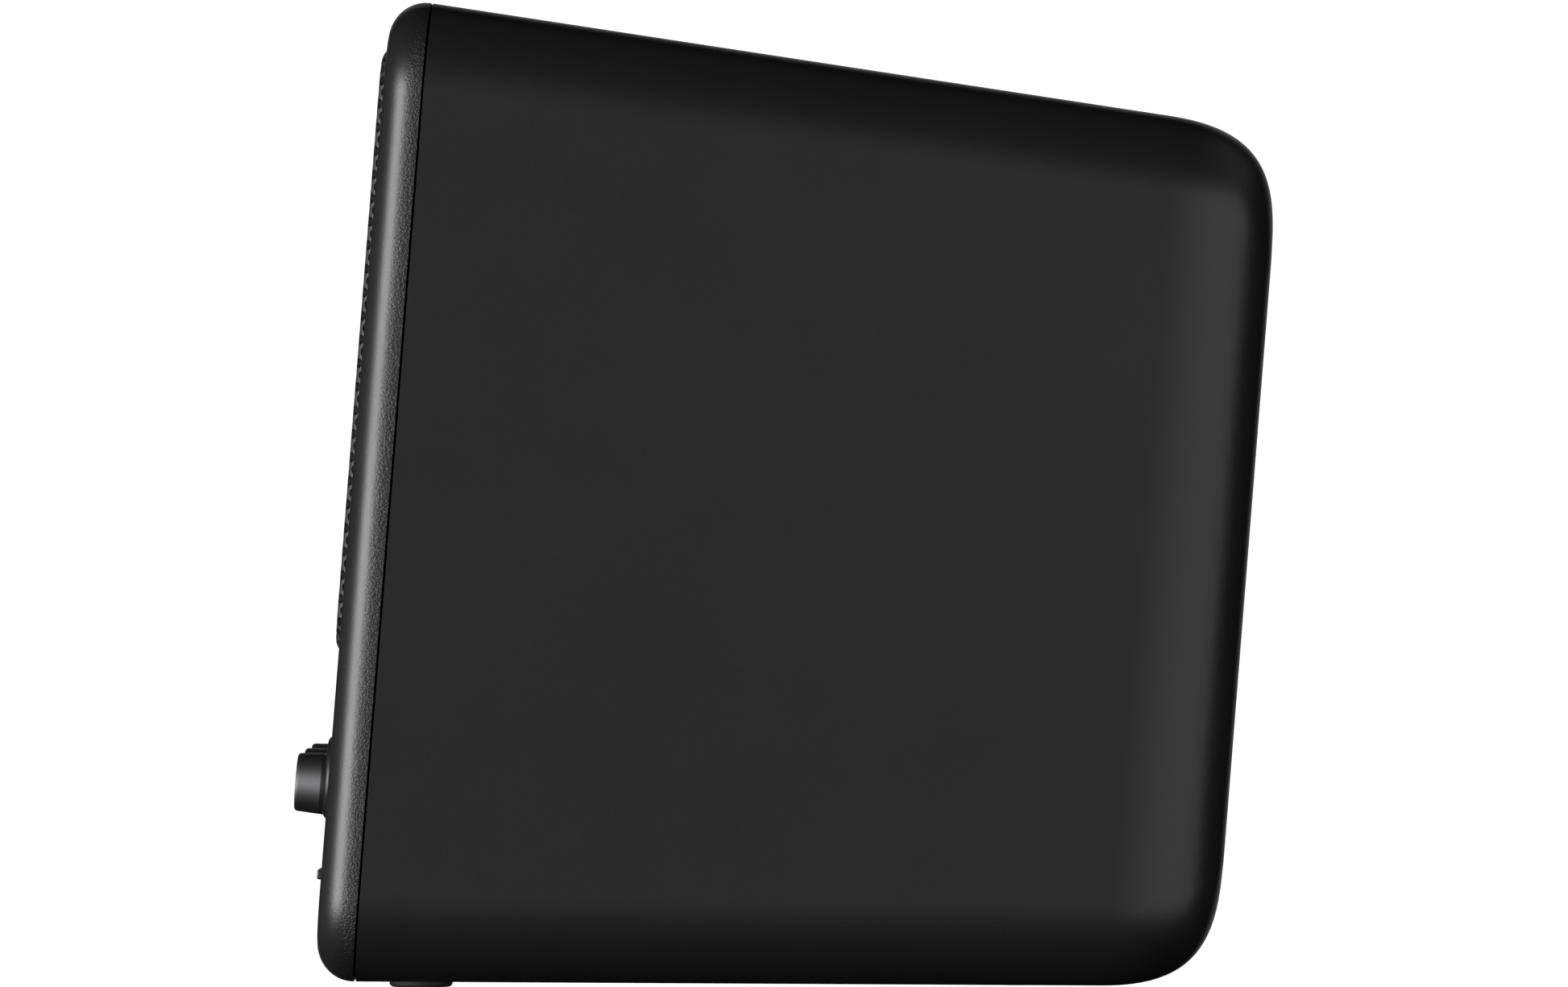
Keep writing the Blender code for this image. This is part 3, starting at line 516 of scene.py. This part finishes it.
def make_baffle():
    """The round-edged front with its grille pocket and the holes for the controls."""
    flat, turns = 0.6, 18
    lip_out, lip_in, lip_back = 4.3, 6.8, 5
    rings = []
    for turn in range(turns + 1):
        a = math.pi / 2 * (1 - turn / turns)
        inset = ROUND_OVER * (1 - math.cos(a))
        rings.append(skin_outline(inset, -flat + (FRONT + flat) * math.sin(a), CORNER - inset))
    for inset, y in ((0, 0), (lip_out, 0), (lip_out, lip_back), (lip_in, lip_back), (lip_in, BAFFLE_BACK)):
        rings.append(skin_outline(inset, y, CORNER - inset))
    baffle = piece("front_baffle_moulding", lofted(rings), "textured_black", stands_for=["front_baffle"],
                   finish="baffle_black")
    outside = FRONT - 1
    gap, plate_gap, button_gap = 0.4, 0.3, 0.35
    driver_r, shaft_r, light_r, jack_r = 49, 4, 1.4, 3.5
    behind_controls = block((-62, FRONT + 3, -95), (62, 4, -42))
    cuts = [
        slab(GRILLE_W + 2 * gap, GRILLE_H + 2 * gap, GRILLE_CORNER + gap, outside, POCKET_FLOOR, z=GRILLE_Z,
             arc=ARC),
        slab(PLATE_W + 2 * plate_gap, PLATE_H + 2 * plate_gap, PLATE_H / 2 + plate_gap - 0.01, outside,
             PLATE_HIGH.y + plate_gap, z=PLATE_Z, arc=24),
        behind_controls,
        turned([(0, -5), (driver_r, -5), (driver_r, 5), (0, 5)], z=GRILLE_Z, closed=False),
        slab(BUTTON_W + 2 * button_gap, BUTTON_H + 2 * button_gap, 0.6, outside, 0, x=BUTTON_X, z=BUTTON_Z,
             arc=4),
    ]
    holes = [(x, KNOB_Z, shaft_r) for x in KNOB_PLACES.values()]
    holes += [(LED_X, BUTTON_Z, light_r), (AUX_X, BUTTON_Z, jack_r)]
    for x, z, radius in holes:
        bore = [(0, outside), (radius, outside), (radius, 0), (0, 0)]
        cuts.append(turned(bore, x, z, 48, closed=False))
    combine(baffle, [("DIFFERENCE", bm) for bm in cuts])
    soften(baffle, width=0.2)


def make_gasket():
    """The dark strip in the seam between the front and the bucket."""
    band = ((1.8, 0.35), (3.2, 0.35), (3.2, 2.8), (1.8, 2.8))
    rings = [skin_outline(inset, y, CORNER - inset) for inset, y in band]
    piece("seam_gasket_strip", lofted(rings, closed=True), "rubber", stands_for=["seam_gasket"])


# Grille


def beyond_flat(x, z):
    """Distance on the flat sheet from the edge of the flat part, and the direction away from it."""
    corner = GRILLE_CORNER - GRILLE_ROLL
    qx = abs(x) - (GRILLE_W / 2 - GRILLE_ROLL - corner)
    qz = abs(z) - (GRILLE_H / 2 - GRILLE_ROLL - corner)
    sx, sz = math.copysign(1, x), math.copysign(1, z)
    if qx > 0 and qz > 0:
        reach = math.hypot(qx, qz)
        return reach - corner, (sx * qx / reach, sz * qz / reach)
    return (qx - corner, (sx, 0.0)) if qx > qz else (qz - corner, (0.0, sz))


def rolled(x, z):
    """Where a point of the flat sheet ends up once its edge is rolled over."""
    reach, (nx, nz) = beyond_flat(x, z)
    if reach <= 0:
        return (x, GRILLE_LOW.y, z + GRILLE_Z)
    a = min(reach, CELLS_END) / GRILLE_ROLL
    out = GRILLE_ROLL * math.sin(a) - reach
    y = GRILLE_LOW.y + GRILLE_ROLL * (1 - math.cos(a))
    return (x + nx * out, y, z + nz * out + GRILLE_Z)


def between(a, b, t):
    """The point a share t of the way from a to b."""
    return tuple(p + (q - p) * t for p, q in zip(a, b))


def cell_faces(x, z, radius):
    """Faces of one six-sided cell round a hole, as points of the flat sheet.

    steps is how many parts each side has, and layers how many rings of faces lie round the hole. A cell on
    the rolled edge is divided finely enough to follow it, and so is each side that it shares with a
    neighbour. A radius of 0 leaves the cell whole.
    """
    corner_r = HOLE_PITCH / math.sqrt(3)
    corners = [(x + corner_r * math.cos(a), z + corner_r * math.sin(a))
               for a in (math.pi * (1 / 6 + i / 3) for i in range(6))]
    on_roll = [beyond_flat(*c)[0] > 0 for c in corners]
    steps = 3 if any(on_roll) else 2
    layers = 2 if any(on_roll) and radius else 1
    rim = [(x + radius * math.cos(a), z + radius * math.sin(a))
           for a in (math.pi * (1 / 6 + i / 3 / steps) for i in range(6 * steps + 1))]
    for side in range(6):
        start, end = corners[side], corners[(side + 1) % 6]
        arc = rim[side * steps:(side + 1) * steps + 1]
        edge = [between(start, end, i / steps) for i in range(steps + 1)]
        grid = [[between(a, e, layer / layers) for a, e in zip(arc, edge)] for layer in range(layers + 1)]
        divided = on_roll[side] or on_roll[(side + 1) % 6]
        for near, far in zip(grid, grid[1:]):
            if far is grid[-1] and not divided:
                yield [far[0], *near, far[-1]]
            else:
                for i in range(steps):
                    yield [near[i], far[i], far[i + 1], near[i + 1]]


def make_grille():
    """A sheet of staggered round holes, each in its own six-sided cell, with rolled edges and a skirt."""
    bm = bmesh.new()
    known = {}

    def vert(point):
        key = tuple(round(c, 3) for c in rolled(*point))
        if key not in known:
            known[key] = bm.verts.new(key)
        return known[key]

    row_pitch = HOLE_PITCH * math.sqrt(0.75)
    margin = 4
    rows = int((GRILLE_H / 2 + margin) / row_pitch)
    columns = int((GRILLE_W / 2 + margin) / HOLE_PITCH) + 1
    for row in range(-rows, rows + 1):
        for column in range(-columns, columns + 1):
            x = (column + (0.0 if row % 2 else 0.5)) * HOLE_PITCH
            z = row * row_pitch - HOLES_DOWN
            radius = HOLE_R if beyond_flat(x, z)[0] <= LAST_HOLE else 0.0
            for points in cell_faces(x, z, radius):
                if all(beyond_flat(*p)[0] >= CELLS_END for p in points):
                    continue
                corners = list(dict.fromkeys(vert(p) for p in points))
                if len(corners) > 2 and not bm.faces.get(corners):
                    bm.faces.new(corners)
    start = skirt_start()
    open_edges = [e for e in bm.edges if e.is_boundary and min(v.co.y for v in e.verts) > start - 0.01]
    for y in (start + 1.2, GRILLE_HIGH.y):
        made = bmesh.ops.extrude_edge_only(bm, edges=open_edges)["geom"]
        for v in made:
            if isinstance(v, bmesh.types.BMVert):
                stretch_to_skirt(v, y)
        open_edges = [e for e in made if isinstance(e, bmesh.types.BMEdge) and e.is_boundary]
    bmesh.ops.recalc_face_normals(bm, faces=bm.faces)
    grille = piece("speaker_grille_sheet", bm, "grille_black", stands_for=["speaker_grille"], sharp=50)
    if grille.data.polygons[0].normal.y > 0:
        grille.data.flip_normals()
    solid = grille.modifiers.new("sheet", "SOLIDIFY")
    solid.thickness = SHEET * MM
    solid.offset = -1
    solid.use_even_offset = False
    settle(grille, sharp=50)


def skirt_start():
    """The depth at which the rolled edge ends and the plain skirt starts."""
    return GRILLE_LOW.y + GRILLE_ROLL * (1 - math.cos(CELLS_END / GRILLE_ROLL))


def stretch_to_skirt(v, y):
    """Moves an edge point of the rolled part straight back, out to the sheet's full width."""
    _, (nx, nz) = beyond_flat(v.co.x, v.co.z - GRILLE_Z)
    grow = GRILLE_ROLL * (1 - math.sin(CELLS_END / GRILLE_ROLL)) if y < GRILLE_HIGH.y else 0.0
    v.co = (v.co.x + nx * grow, y, v.co.z + nz * grow)


# Controls


def make_plate():
    """The round-ended plate behind the knobs, with a hole for each shaft."""
    bevel = 1.3
    radius = PLATE_H / 2 - 0.01
    front, back = PLATE_LOW.y, PLATE_HIGH.y
    edge = [(0, back)] + arc_points((bevel, front + bevel), bevel, 180, 270, 8)
    rings = [outline(PLATE_W - 2 * inset, PLATE_H - 2 * inset, radius - inset, y, z=PLATE_Z, arc=32)
             for inset, y in edge]
    plate = piece("control_plate_trim", lofted(rings), "textured_black", stands_for=["control_plate"])
    hole_r = 4
    bore = [(0, front - 1), (hole_r, front - 1), (hole_r, 0), (0, 0)]
    holes = [turned(bore, x, KNOB_Z, 48, closed=False) for x in KNOB_PLACES.values()]
    combine(plate, [("DIFFERENCE", bm) for bm in holes])
    steady(plate)


def make_knobs():
    """Turned knobs with a rounded front edge, a slightly dished face, a pointer line and a matt base ring."""
    front, back = KNOB_LOW.y, KNOB_HIGH.y
    base = (KNOB_HIGH.z - KNOB_LOW.z) / 2
    fillet, taper = 0.8, 0.35
    ring, ring_depth = 0.95, 1.2
    bore_r, bore_front = 3.5, front + 1.6
    mark_w, mark_l = 0.8, 3.2
    side = base - taper
    split = back - ring
    shoulder = base - taper * ring / (back - front - fillet)
    neck = shoulder - ring_depth
    for name, x in KNOB_PLACES.items():
        crown = arc_points((side - fillet, front + fillet), fillet, -90, -4, 8)
        profile = [(0, front + 0.18), (side - 1.6, front + 0.1), (side - 1.1, front)] + crown
        profile += [(shoulder, split), (neck, split), (neck, back - 0.1), (bore_r, back - 0.1)]
        profile += [(bore_r, bore_front), (0, bore_front)]
        knob = piece(f"{name}_knob_cap", turned(profile, x, KNOB_Z, 128, closed=False), "satin_black",
                     body=f"{name}_control", stands_for=[f"{name}_knob"], sharp=30, finish="knob_black")
        top = KNOB_Z + side - fillet - 0.1
        notch = block((x - mark_w / 2, front - 1, top - mark_l), (x + mark_w / 2, front + 0.45, top))
        combine(knob, [("DIFFERENCE", notch)], sharp=30)
        steady(knob)
        band = [(neck + 0.02, split + 0.06), (shoulder - 0.06, split + 0.06), (shoulder, split + 0.12)]
        band += [(base, back - 0.1), (base - 0.1, back), (neck + 0.02, back)]
        piece(f"{name}_knob_ring", turned(band, x, KNOB_Z, 128), "satin_black", body=f"{name}_control",
              sharp=30, finish="textured_black")
        pointer = slab(mark_w - 0.1, mark_l - 0.2, 0.15, front + 0.3, front + 0.52, x=x,
                       z=top - mark_l / 2, arc=2)
        piece(f"{name}_pointer", pointer, "pale_plastic", body=f"{name}_control", finish="mark_white")


def make_button():
    """The bar-shaped button: rounded edges, and behind the front a flange that stops it."""
    front, back = BUTTON_LOW.y, BUTTON_HIGH.y
    stop, flange, reach = FRONT + 3.3, 1.2, 2
    width, height = BUTTON_W, BUTTON_H
    stem = width - 4
    edge, steps = 0.4, 4
    rings = []
    for step in range(steps + 1):
        a = math.pi / 2 * step / steps
        inset = edge * (1 - math.sin(a))
        rings.append((width - 2 * inset, height - 2 * inset, front + edge * (1 - math.cos(a))))
    rings += [(width, height, stop), (width + reach, height + reach, stop)]
    rings += [(width + reach, height + reach, stop + flange)]
    rings += [(stem, height, stop + flange), (stem, height, back)]
    loops = [outline(w, h, 0.5, y, x=BUTTON_X, z=BUTTON_Z, arc=6) for w, h, y in rings]
    button = piece("power_button_cap", lofted(loops), "satin_black", body="power_key",
                   stands_for=["power_button"])
    steady(button)


def make_light_and_jack():
    """The status light's domed lens and the small jack's plated ring."""
    low, high = face_box("status_light_pipe")
    dome_r, rim_r = 1.3, 1.8
    dome = [(0, low.y)] + arc_points((0, low.y + dome_r), dome_r, -90, -32, 6)[1:]
    profile = dome + [(1.1, high.y - 1.2), (rim_r, high.y - 1.2), (rim_r, high.y), (0, high.y)]
    piece("status_light_lens", turned(profile, LED_X, BUTTON_Z, 48, closed=False), "pale_plastic",
          stands_for=["status_light_pipe"])
    low, _ = face_box("aux_input_jack")
    inner, outer = 1.85, 2.65
    ring = [(inner, low.y + 0.15), (inner + 0.15, low.y - 0.15), (outer - 0.15, low.y - 0.15)]
    ring += [(outer, low.y + 0.1), (outer, low.y + 2), (inner, low.y + 2)]
    piece("aux_input_ring", turned(ring, AUX_X, BUTTON_Z, 64), "bright_steel")


# Driver


def make_driver():
    """The cone, dust cap, surround and spider, seen through the grille's holes."""
    paper = 0.8
    back = smooth_profile([(11.3, 12.9), (16, 10.6), (24, 5.6), (32, 1), (39.6, -2.6)], 5)
    front = [(r, y - paper) for r, y in reversed(back)]
    piece("cone_body", turned(back + front, z=GRILLE_Z), "cone_paper", body="cone_assembly",
          stands_for=["driver_cone"])
    cap_back = smooth_profile([(0, 5.7), (5.3, 6.3), (9.6, 8.1), (13.2, 10.9)], 4)
    cap_front = smooth_profile([(0, 4.9), (5.5, 5.5), (10, 7.3), (13.2, 10.3)], 4)
    piece("cone_dust_cap", turned(cap_front + cap_back[::-1], z=GRILLE_Z, closed=False), "cone_paper",
          body="cone_assembly", stands_for=["dust_cap"])

    roll, wall, middle, seat = 2.7, 0.6, 42.6, -4.2
    steps = 16
    over, under = [], []
    for step in range(steps + 1):
        a = math.pi * step / steps
        over.append((middle - (roll + wall / 2) * math.cos(a), seat - roll * math.sin(a)))
        depth = seat + wall / 2 - (roll - wall) * math.sin(a)
        under.append((middle - (roll - wall / 2) * math.cos(a), depth))
    surround = [(37.6, -3.8), (37.6, -4.4)] + over + [(48.6, -4.8), (48.6, seat)] + under[::-1]
    flexing_ring("cone_surround_roll", surround, "rubber", "driver_surround")

    inner, outer, waves, bulge = 11.3, 32.7, 3, 0.9
    level, cloth = 14.2, 0.5
    steps = 8 * waves
    front, back = [], []
    for step in range(steps + 1):
        t = step / steps
        radius = inner + (outer - inner) * t
        y = level - bulge * math.cos(2 * math.pi * waves * t)
        front.append((radius, y))
        back.append((radius, y + cloth))
    flexing_ring("coil_spider_disc", front + back[::-1], "spider_cloth", "driver_spider")


def smooth_profile(points, steps):
    """Points on a smooth curve through a profile's points."""
    knots = [Vector(p) for p in points]
    ends = [2 * knots[0] - knots[1]] + knots + [2 * knots[-1] - knots[-2]]
    made = []
    for a, b, c, d in zip(ends, ends[1:], ends[2:], ends[3:]):
        for step in range(steps):
            t = step / steps
            p = 0.5 * (2 * b + (c - a) * t + (2 * a - 5 * b + 4 * c - d) * t**2
                       + (3 * b - a - 3 * c + d) * t**3)
            made.append((max(p.x, 0.0), p.y))
    return made + [tuple(knots[-1])]


def flexing_ring(name, profile, slot, stands_for, sectors=24, segments=4):
    """A ring between the basket and the cone, built in sectors that are joined into one piece.
    """
    step = 2 * math.pi / (sectors * segments)
    made = []
    for sector in range(sectors):
        turn = sector * segments * step
        rings = []
        for i in range(segments + 1):
            a = turn + (i - segments / 2) * step
            rings.append([(r * math.cos(a), y, GRILLE_Z + r * math.sin(a)) for r, y in profile])
        bm = bmesh.new()
        add_loft(bm, rings, capped=False)
        part = piece(f"{name}_{sector}", bm, slot, body=None)
        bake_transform(part)
        made.append(part)
    whole = made[0]
    with bpy.context.temp_override(active_object=whole, object=whole, selected_objects=made,
                                   selected_editable_objects=made):
        bpy.ops.object.join()
    bm = bmesh.new()
    bm.from_mesh(whole.data)
    bmesh.ops.remove_doubles(bm, verts=bm.verts, dist=1e-6)
    bmesh.ops.recalc_face_normals(bm, faces=bm.faces)
    bm.to_mesh(whole.data)
    bm.free()
    whole.name = name
    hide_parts(stands_for)


# Back


def make_panel():
    """The jack panel in its bay, with the mains inlet, the line inputs and holes for the screws."""
    front, back = PANEL_LOW.y, PANEL_HIGH.y
    panel = piece("rear_panel_plate",
                  slab(PANEL_HIGH.x - PANEL_LOW.x, PANEL_HIGH.z - PANEL_LOW.z, 3.6, front, back, z=BAY_Z),
                  "painted_black", stands_for=["rear_panel"])
    inlet_w, inlet_h, inlet_gap = 27.2, 20, 0.3
    jack_r, screw_r = 4.6, 1.8
    cuts = [slab(inlet_w + 2 * inlet_gap, inlet_h + 2 * inlet_gap, 2 + inlet_gap, front - 1, back + 1,
                 x=INLET_X, z=INLET_Z, arc=6)]
    holes = [(RCA_X, z, jack_r, 48) for z in RCA_Z.values()]
    holes += [(x, z, screw_r, 24) for x, z in panel_screw_places()]
    for x, z, radius, segments in holes:
        bore = [(0, front - 1), (radius, front - 1), (radius, back + 1), (0, back + 1)]
        cuts.append(turned(bore, x, z, segments, closed=False))
    soften(panel, width=0.25)
    combine(panel, [("DIFFERENCE", bm) for bm in cuts], sharp=35)
    steady(panel)

    flange = back + 0.3
    rear = INLET_HIGH.y
    sizes = ((inlet_w, inlet_h, 2, INLET_LOW.y), (inlet_w, inlet_h, 2, flange), (31, 24, 3, flange),
             (31, 24, 3, rear))
    rings = [outline(w, h, r, y, x=INLET_X, z=INLET_Z, arc=8) for w, h, r, y in sizes]
    inlet = piece("mains_inlet_body", lofted(rings), "dark_plastic", stands_for=["mains_inlet"])
    floor = 158.6
    cavity = slab(24, 16.6, 2.5, floor, rear + 2, x=INLET_X, z=INLET_Z, arc=6)
    combine(inlet, [("DIFFERENCE", cavity)])
    soften(inlet, width=0.3, segments=3)
    pin_spread, pin_offset = 7, 2
    places = ((-pin_spread, -pin_offset), (0, pin_offset), (pin_spread, -pin_offset))
    for number, (dx, dz) in enumerate(places, 1):
        x, z = INLET_X + dx, INLET_Z + dz
        blade = block((x - 1, floor - 1.6, z - 2), (x + 1, floor + 10, z + 2))
        pin = piece(f"mains_pin_{number}", blade, "bright_steel")
        soften(pin, width=0.45, segments=3)

    for side, z in RCA_Z.items():
        make_phono_jack(side, z, flange)


def make_phono_jack(side, z, flange):
    """A plated sleeve with a flange, and a coloured insulator round the centre contact."""
    low, high = face_box(f"rca_jack_{side}")
    rear = high.y
    sleeve = [(3.3, rear - 6), (3.3, rear - 0.2), (3.5, rear), (3.95, rear), (4.15, rear - 0.25)]
    sleeve += [(4.15, flange + 1.2), (5.8, flange + 1.2), (6, flange + 1), (6, flange), (4.2, flange)]
    sleeve += [(4.2, low.y), (2.2, low.y), (2.2, rear - 6)]
    piece(f"phono_sleeve_{side}", turned(sleeve, RCA_X, z, 64), "bright_steel",
          stands_for=[f"rca_jack_{side}"])
    insulator = [(1.6, rear - 5.8), (1.6, rear - 0.9), (1.75, rear - 0.7), (3.1, rear - 0.7),
                 (3.25, rear - 0.85), (3.25, rear - 5.8)]
    colour = "signal_white" if side == "left" else "signal_red"
    piece(f"phono_insulator_{side}", turned(insulator, RCA_X, z, 48), "pale_plastic", finish=colour)


def panel_screw_places():
    """The four corners of the jack panel where its screws sit."""
    return [(sx * 29.4, BAY_Z + sz * 24.4) for sx, sz in ((-1, 1), (1, 1), (1, -1), (-1, -1))]


def make_screws():
    """Pan-head screws with a cross recess, in place of the CAD's plain ones."""
    head_r, head_high, shank_r = 3, 1.8, 1.3
    slot_w, slot_l = 0.8, 3.4
    steps = 8
    for group, away in (("driver", -1), ("baffle", -1), ("panel", 1)):
        for number in range(1, 5):
            name = f"{group}_screw_{number}"
            low, high = face_box(name)
            x, z = (low.x + high.x) / 2, (low.z + high.z) / 2
            outer, tip = (low.y, high.y) if away < 0 else (high.y, low.y)
            seat = outer - head_high * away
            angles = [math.pi / 2 * step / steps for step in range(1, steps + 1)]
            head = [(0, outer)]
            head += [(head_r * math.sin(a), seat + away * head_high * math.cos(a)) for a in angles]
            profile = head + [(shank_r, seat), (shank_r, tip + away), (0, tip)]
            screw = piece(f"{name}_cross_head", turned(profile, x, z, 40, closed=False), "bright_steel",
                          stands_for=[name], finish="black_zinc")
            near, far = sorted((outer - 1.1 * away, outer + 1.0 * away))
            cuts = []
            for w, h in ((slot_w, slot_l), (slot_l, slot_w)):
                recess = block((x - w / 2, near, z - h / 2), (x + w / 2, far, z + h / 2))
                cuts.append(("DIFFERENCE", recess))
            combine(screw, cuts, sharp=35)


def make_port():
    """The bass port, whose mouth flares into the back of the cabinet."""
    low, rear = PORT_LOW.y, PORT_HIGH.y
    flare_start, rim_seat = 175.9, 178.8
    flare, lip = rear - flare_start, 0.5
    mouth = arc_points((PORT_IN + flare, rear - flare), flare, 180, 90, 20)
    rim = (PORT_HIGH.x - PORT_LOW.x) / 2
    profile = [(PORT_IN, low)] + mouth + [(rim - lip - 0.1, rear)]
    profile += arc_points((rim - lip, rear - lip), lip, 80, 0, 4)
    profile += [(rim, rim_seat), (PORT_OUT, rim_seat), (PORT_OUT, low)]
    piece("bass_port_tube", turned(profile, z=PORT_Z, segments=128), "textured_black",
          stands_for=["bass_port"])


def make_damping():
    """A foam pad with soft edges and an uneven, cut surface."""
    low, high = face_box("damping_pad")
    centre, half = (low + high) / 2, (high - low) / 2
    within = 0.98  # how much of its CAD solid's width the pad fills
    rim, crown, ripple = 0.62, 0.3, 0.06  # heights, as shares of the CAD solid's half thickness
    bm = bmesh.new()
    bmesh.ops.create_grid(bm, x_segments=40, y_segments=40, size=1)
    bmesh.ops.solidify(bm, geom=list(bm.faces), thickness=0.2)
    for v in bm.verts:
        middle = 1 - max(abs(v.co.x), abs(v.co.y)) ** 8
        wave = ripple * math.sin(9 * math.pi * v.co.x) * math.sin(8 * math.pi * v.co.y)
        height = rim + crown * middle + wave if v.co.z > 0 else -within
        v.co = (centre.x + within * half.x * v.co.x, centre.y + within * half.y * v.co.y,
                centre.z + half.z * height)
    pad = piece("damping_pad_foam", bm, "damping_foam", stands_for=["damping_pad"])


# Stage, camera and lights


def finish_cad_nodes():
    """Gives every CAD node the finish of its slot."""
    for part in frame["record"]["subparts"]:
        for holder in frame["nodes"][part["node"]].material_slots:
            holder.material = FINISH[part["material_slot"]]


def make_camera():
    """The photo's view: a long lens level with the speaker, square to its right side."""
    camera = bpy.data.objects.new("camera", bpy.data.cameras.new("camera"))
    scene.collection.objects.link(camera)
    camera.location = CAMERA_PLACE
    camera.rotation_euler = [math.radians(a) for a in CAMERA_TURN]
    camera.data.sensor_width = SENSOR
    camera.data.lens = LENS
    scene.camera = camera


def plain(name, value, strength):
    """A plain white for the floor and backdrop."""
    made = bpy.data.materials.new(name)
    made.use_nodes = True
    tree = made.node_tree
    tree.nodes.clear()
    glow = node(tree, "Emission", {"Color": (value, value, value, 1), "Strength": strength})
    out = node(tree, "OutputMaterial")
    tree.links.new(glow.outputs[0], out.inputs[0])
    return made


def make_stage():
    """A white floor and a white dome that only the camera sees."""
    white = plain("studio_white", 1.0, 1.1)
    bm = bmesh.new()
    bmesh.ops.create_circle(bm, cap_ends=True, segments=64, radius=7.5)
    floor = piece("studio_floor", bm, None, matrix=Matrix.Translation((0, 0, -0.0005)))
    bm = bmesh.new()
    bmesh.ops.create_icosphere(bm, subdivisions=4, radius=8)
    dome = piece("studio_dome", bm, None, matrix=Matrix.Identity(4))
    for obj in (floor, dome):
        obj.data.materials.append(white)
        for ray in ("diffuse", "glossy", "transmission", "volume_scatter", "shadow"):
            setattr(obj, "visible_" + ray, False)


def softbox(name, azimuths, elevations, radiance, distance=2.0):
    """An area light that spans those azimuths and elevations, in degrees, as the object sees it.

    Azimuth 0 is the front and 90 the right side. Elevation 0 is level with the object's middle.
    """
    azimuth, elevation = (math.radians(sum(pair) / 2) for pair in (azimuths, elevations))
    width, height = (2 * distance * math.tan(math.radians(pair[1] - pair[0]) / 2)
                     for pair in (azimuths, elevations))
    light = bpy.data.lights.new(name, "AREA")
    light.shape = "RECTANGLE"
    light.size, light.size_y = width, height
    light.energy = radiance * math.pi * width * height
    obj = bpy.data.objects.new(name, light)
    scene.collection.objects.link(obj)
    towards = Vector((math.sin(azimuth) * math.cos(elevation), -math.cos(azimuth) * math.cos(elevation),
                      math.sin(elevation)))
    obj.location = Vector((0, 0, 0.1)) + towards * distance
    obj.rotation_mode = "QUATERNION"
    obj.rotation_quaternion = towards.to_track_quat("Z", "Y")
    obj.visible_camera = False


def make_lights():
    """A bright strip at the front right, a broad soft box at the rear right, and weak fills elsewhere."""
    world = bpy.data.worlds.new("studio")
    world.use_nodes = True
    world.node_tree.nodes["Background"].inputs["Strength"].default_value = WORLD
    scene.world = world
    for name, (azimuths, elevations, radiance) in LIGHTS.items():
        softbox(name, azimuths, elevations, radiance)


def main():
    make_shell()
    make_feet()
    make_baffle()
    make_gasket()
    make_grille()
    make_plate()
    make_knobs()
    make_button()
    make_light_and_jack()
    make_driver()
    make_panel()
    make_screws()
    make_port()
    make_damping()
    finish_cad_nodes()
    make_camera()
    make_stage()
    make_lights()
    scene.view_settings.view_transform = "Standard"


main()
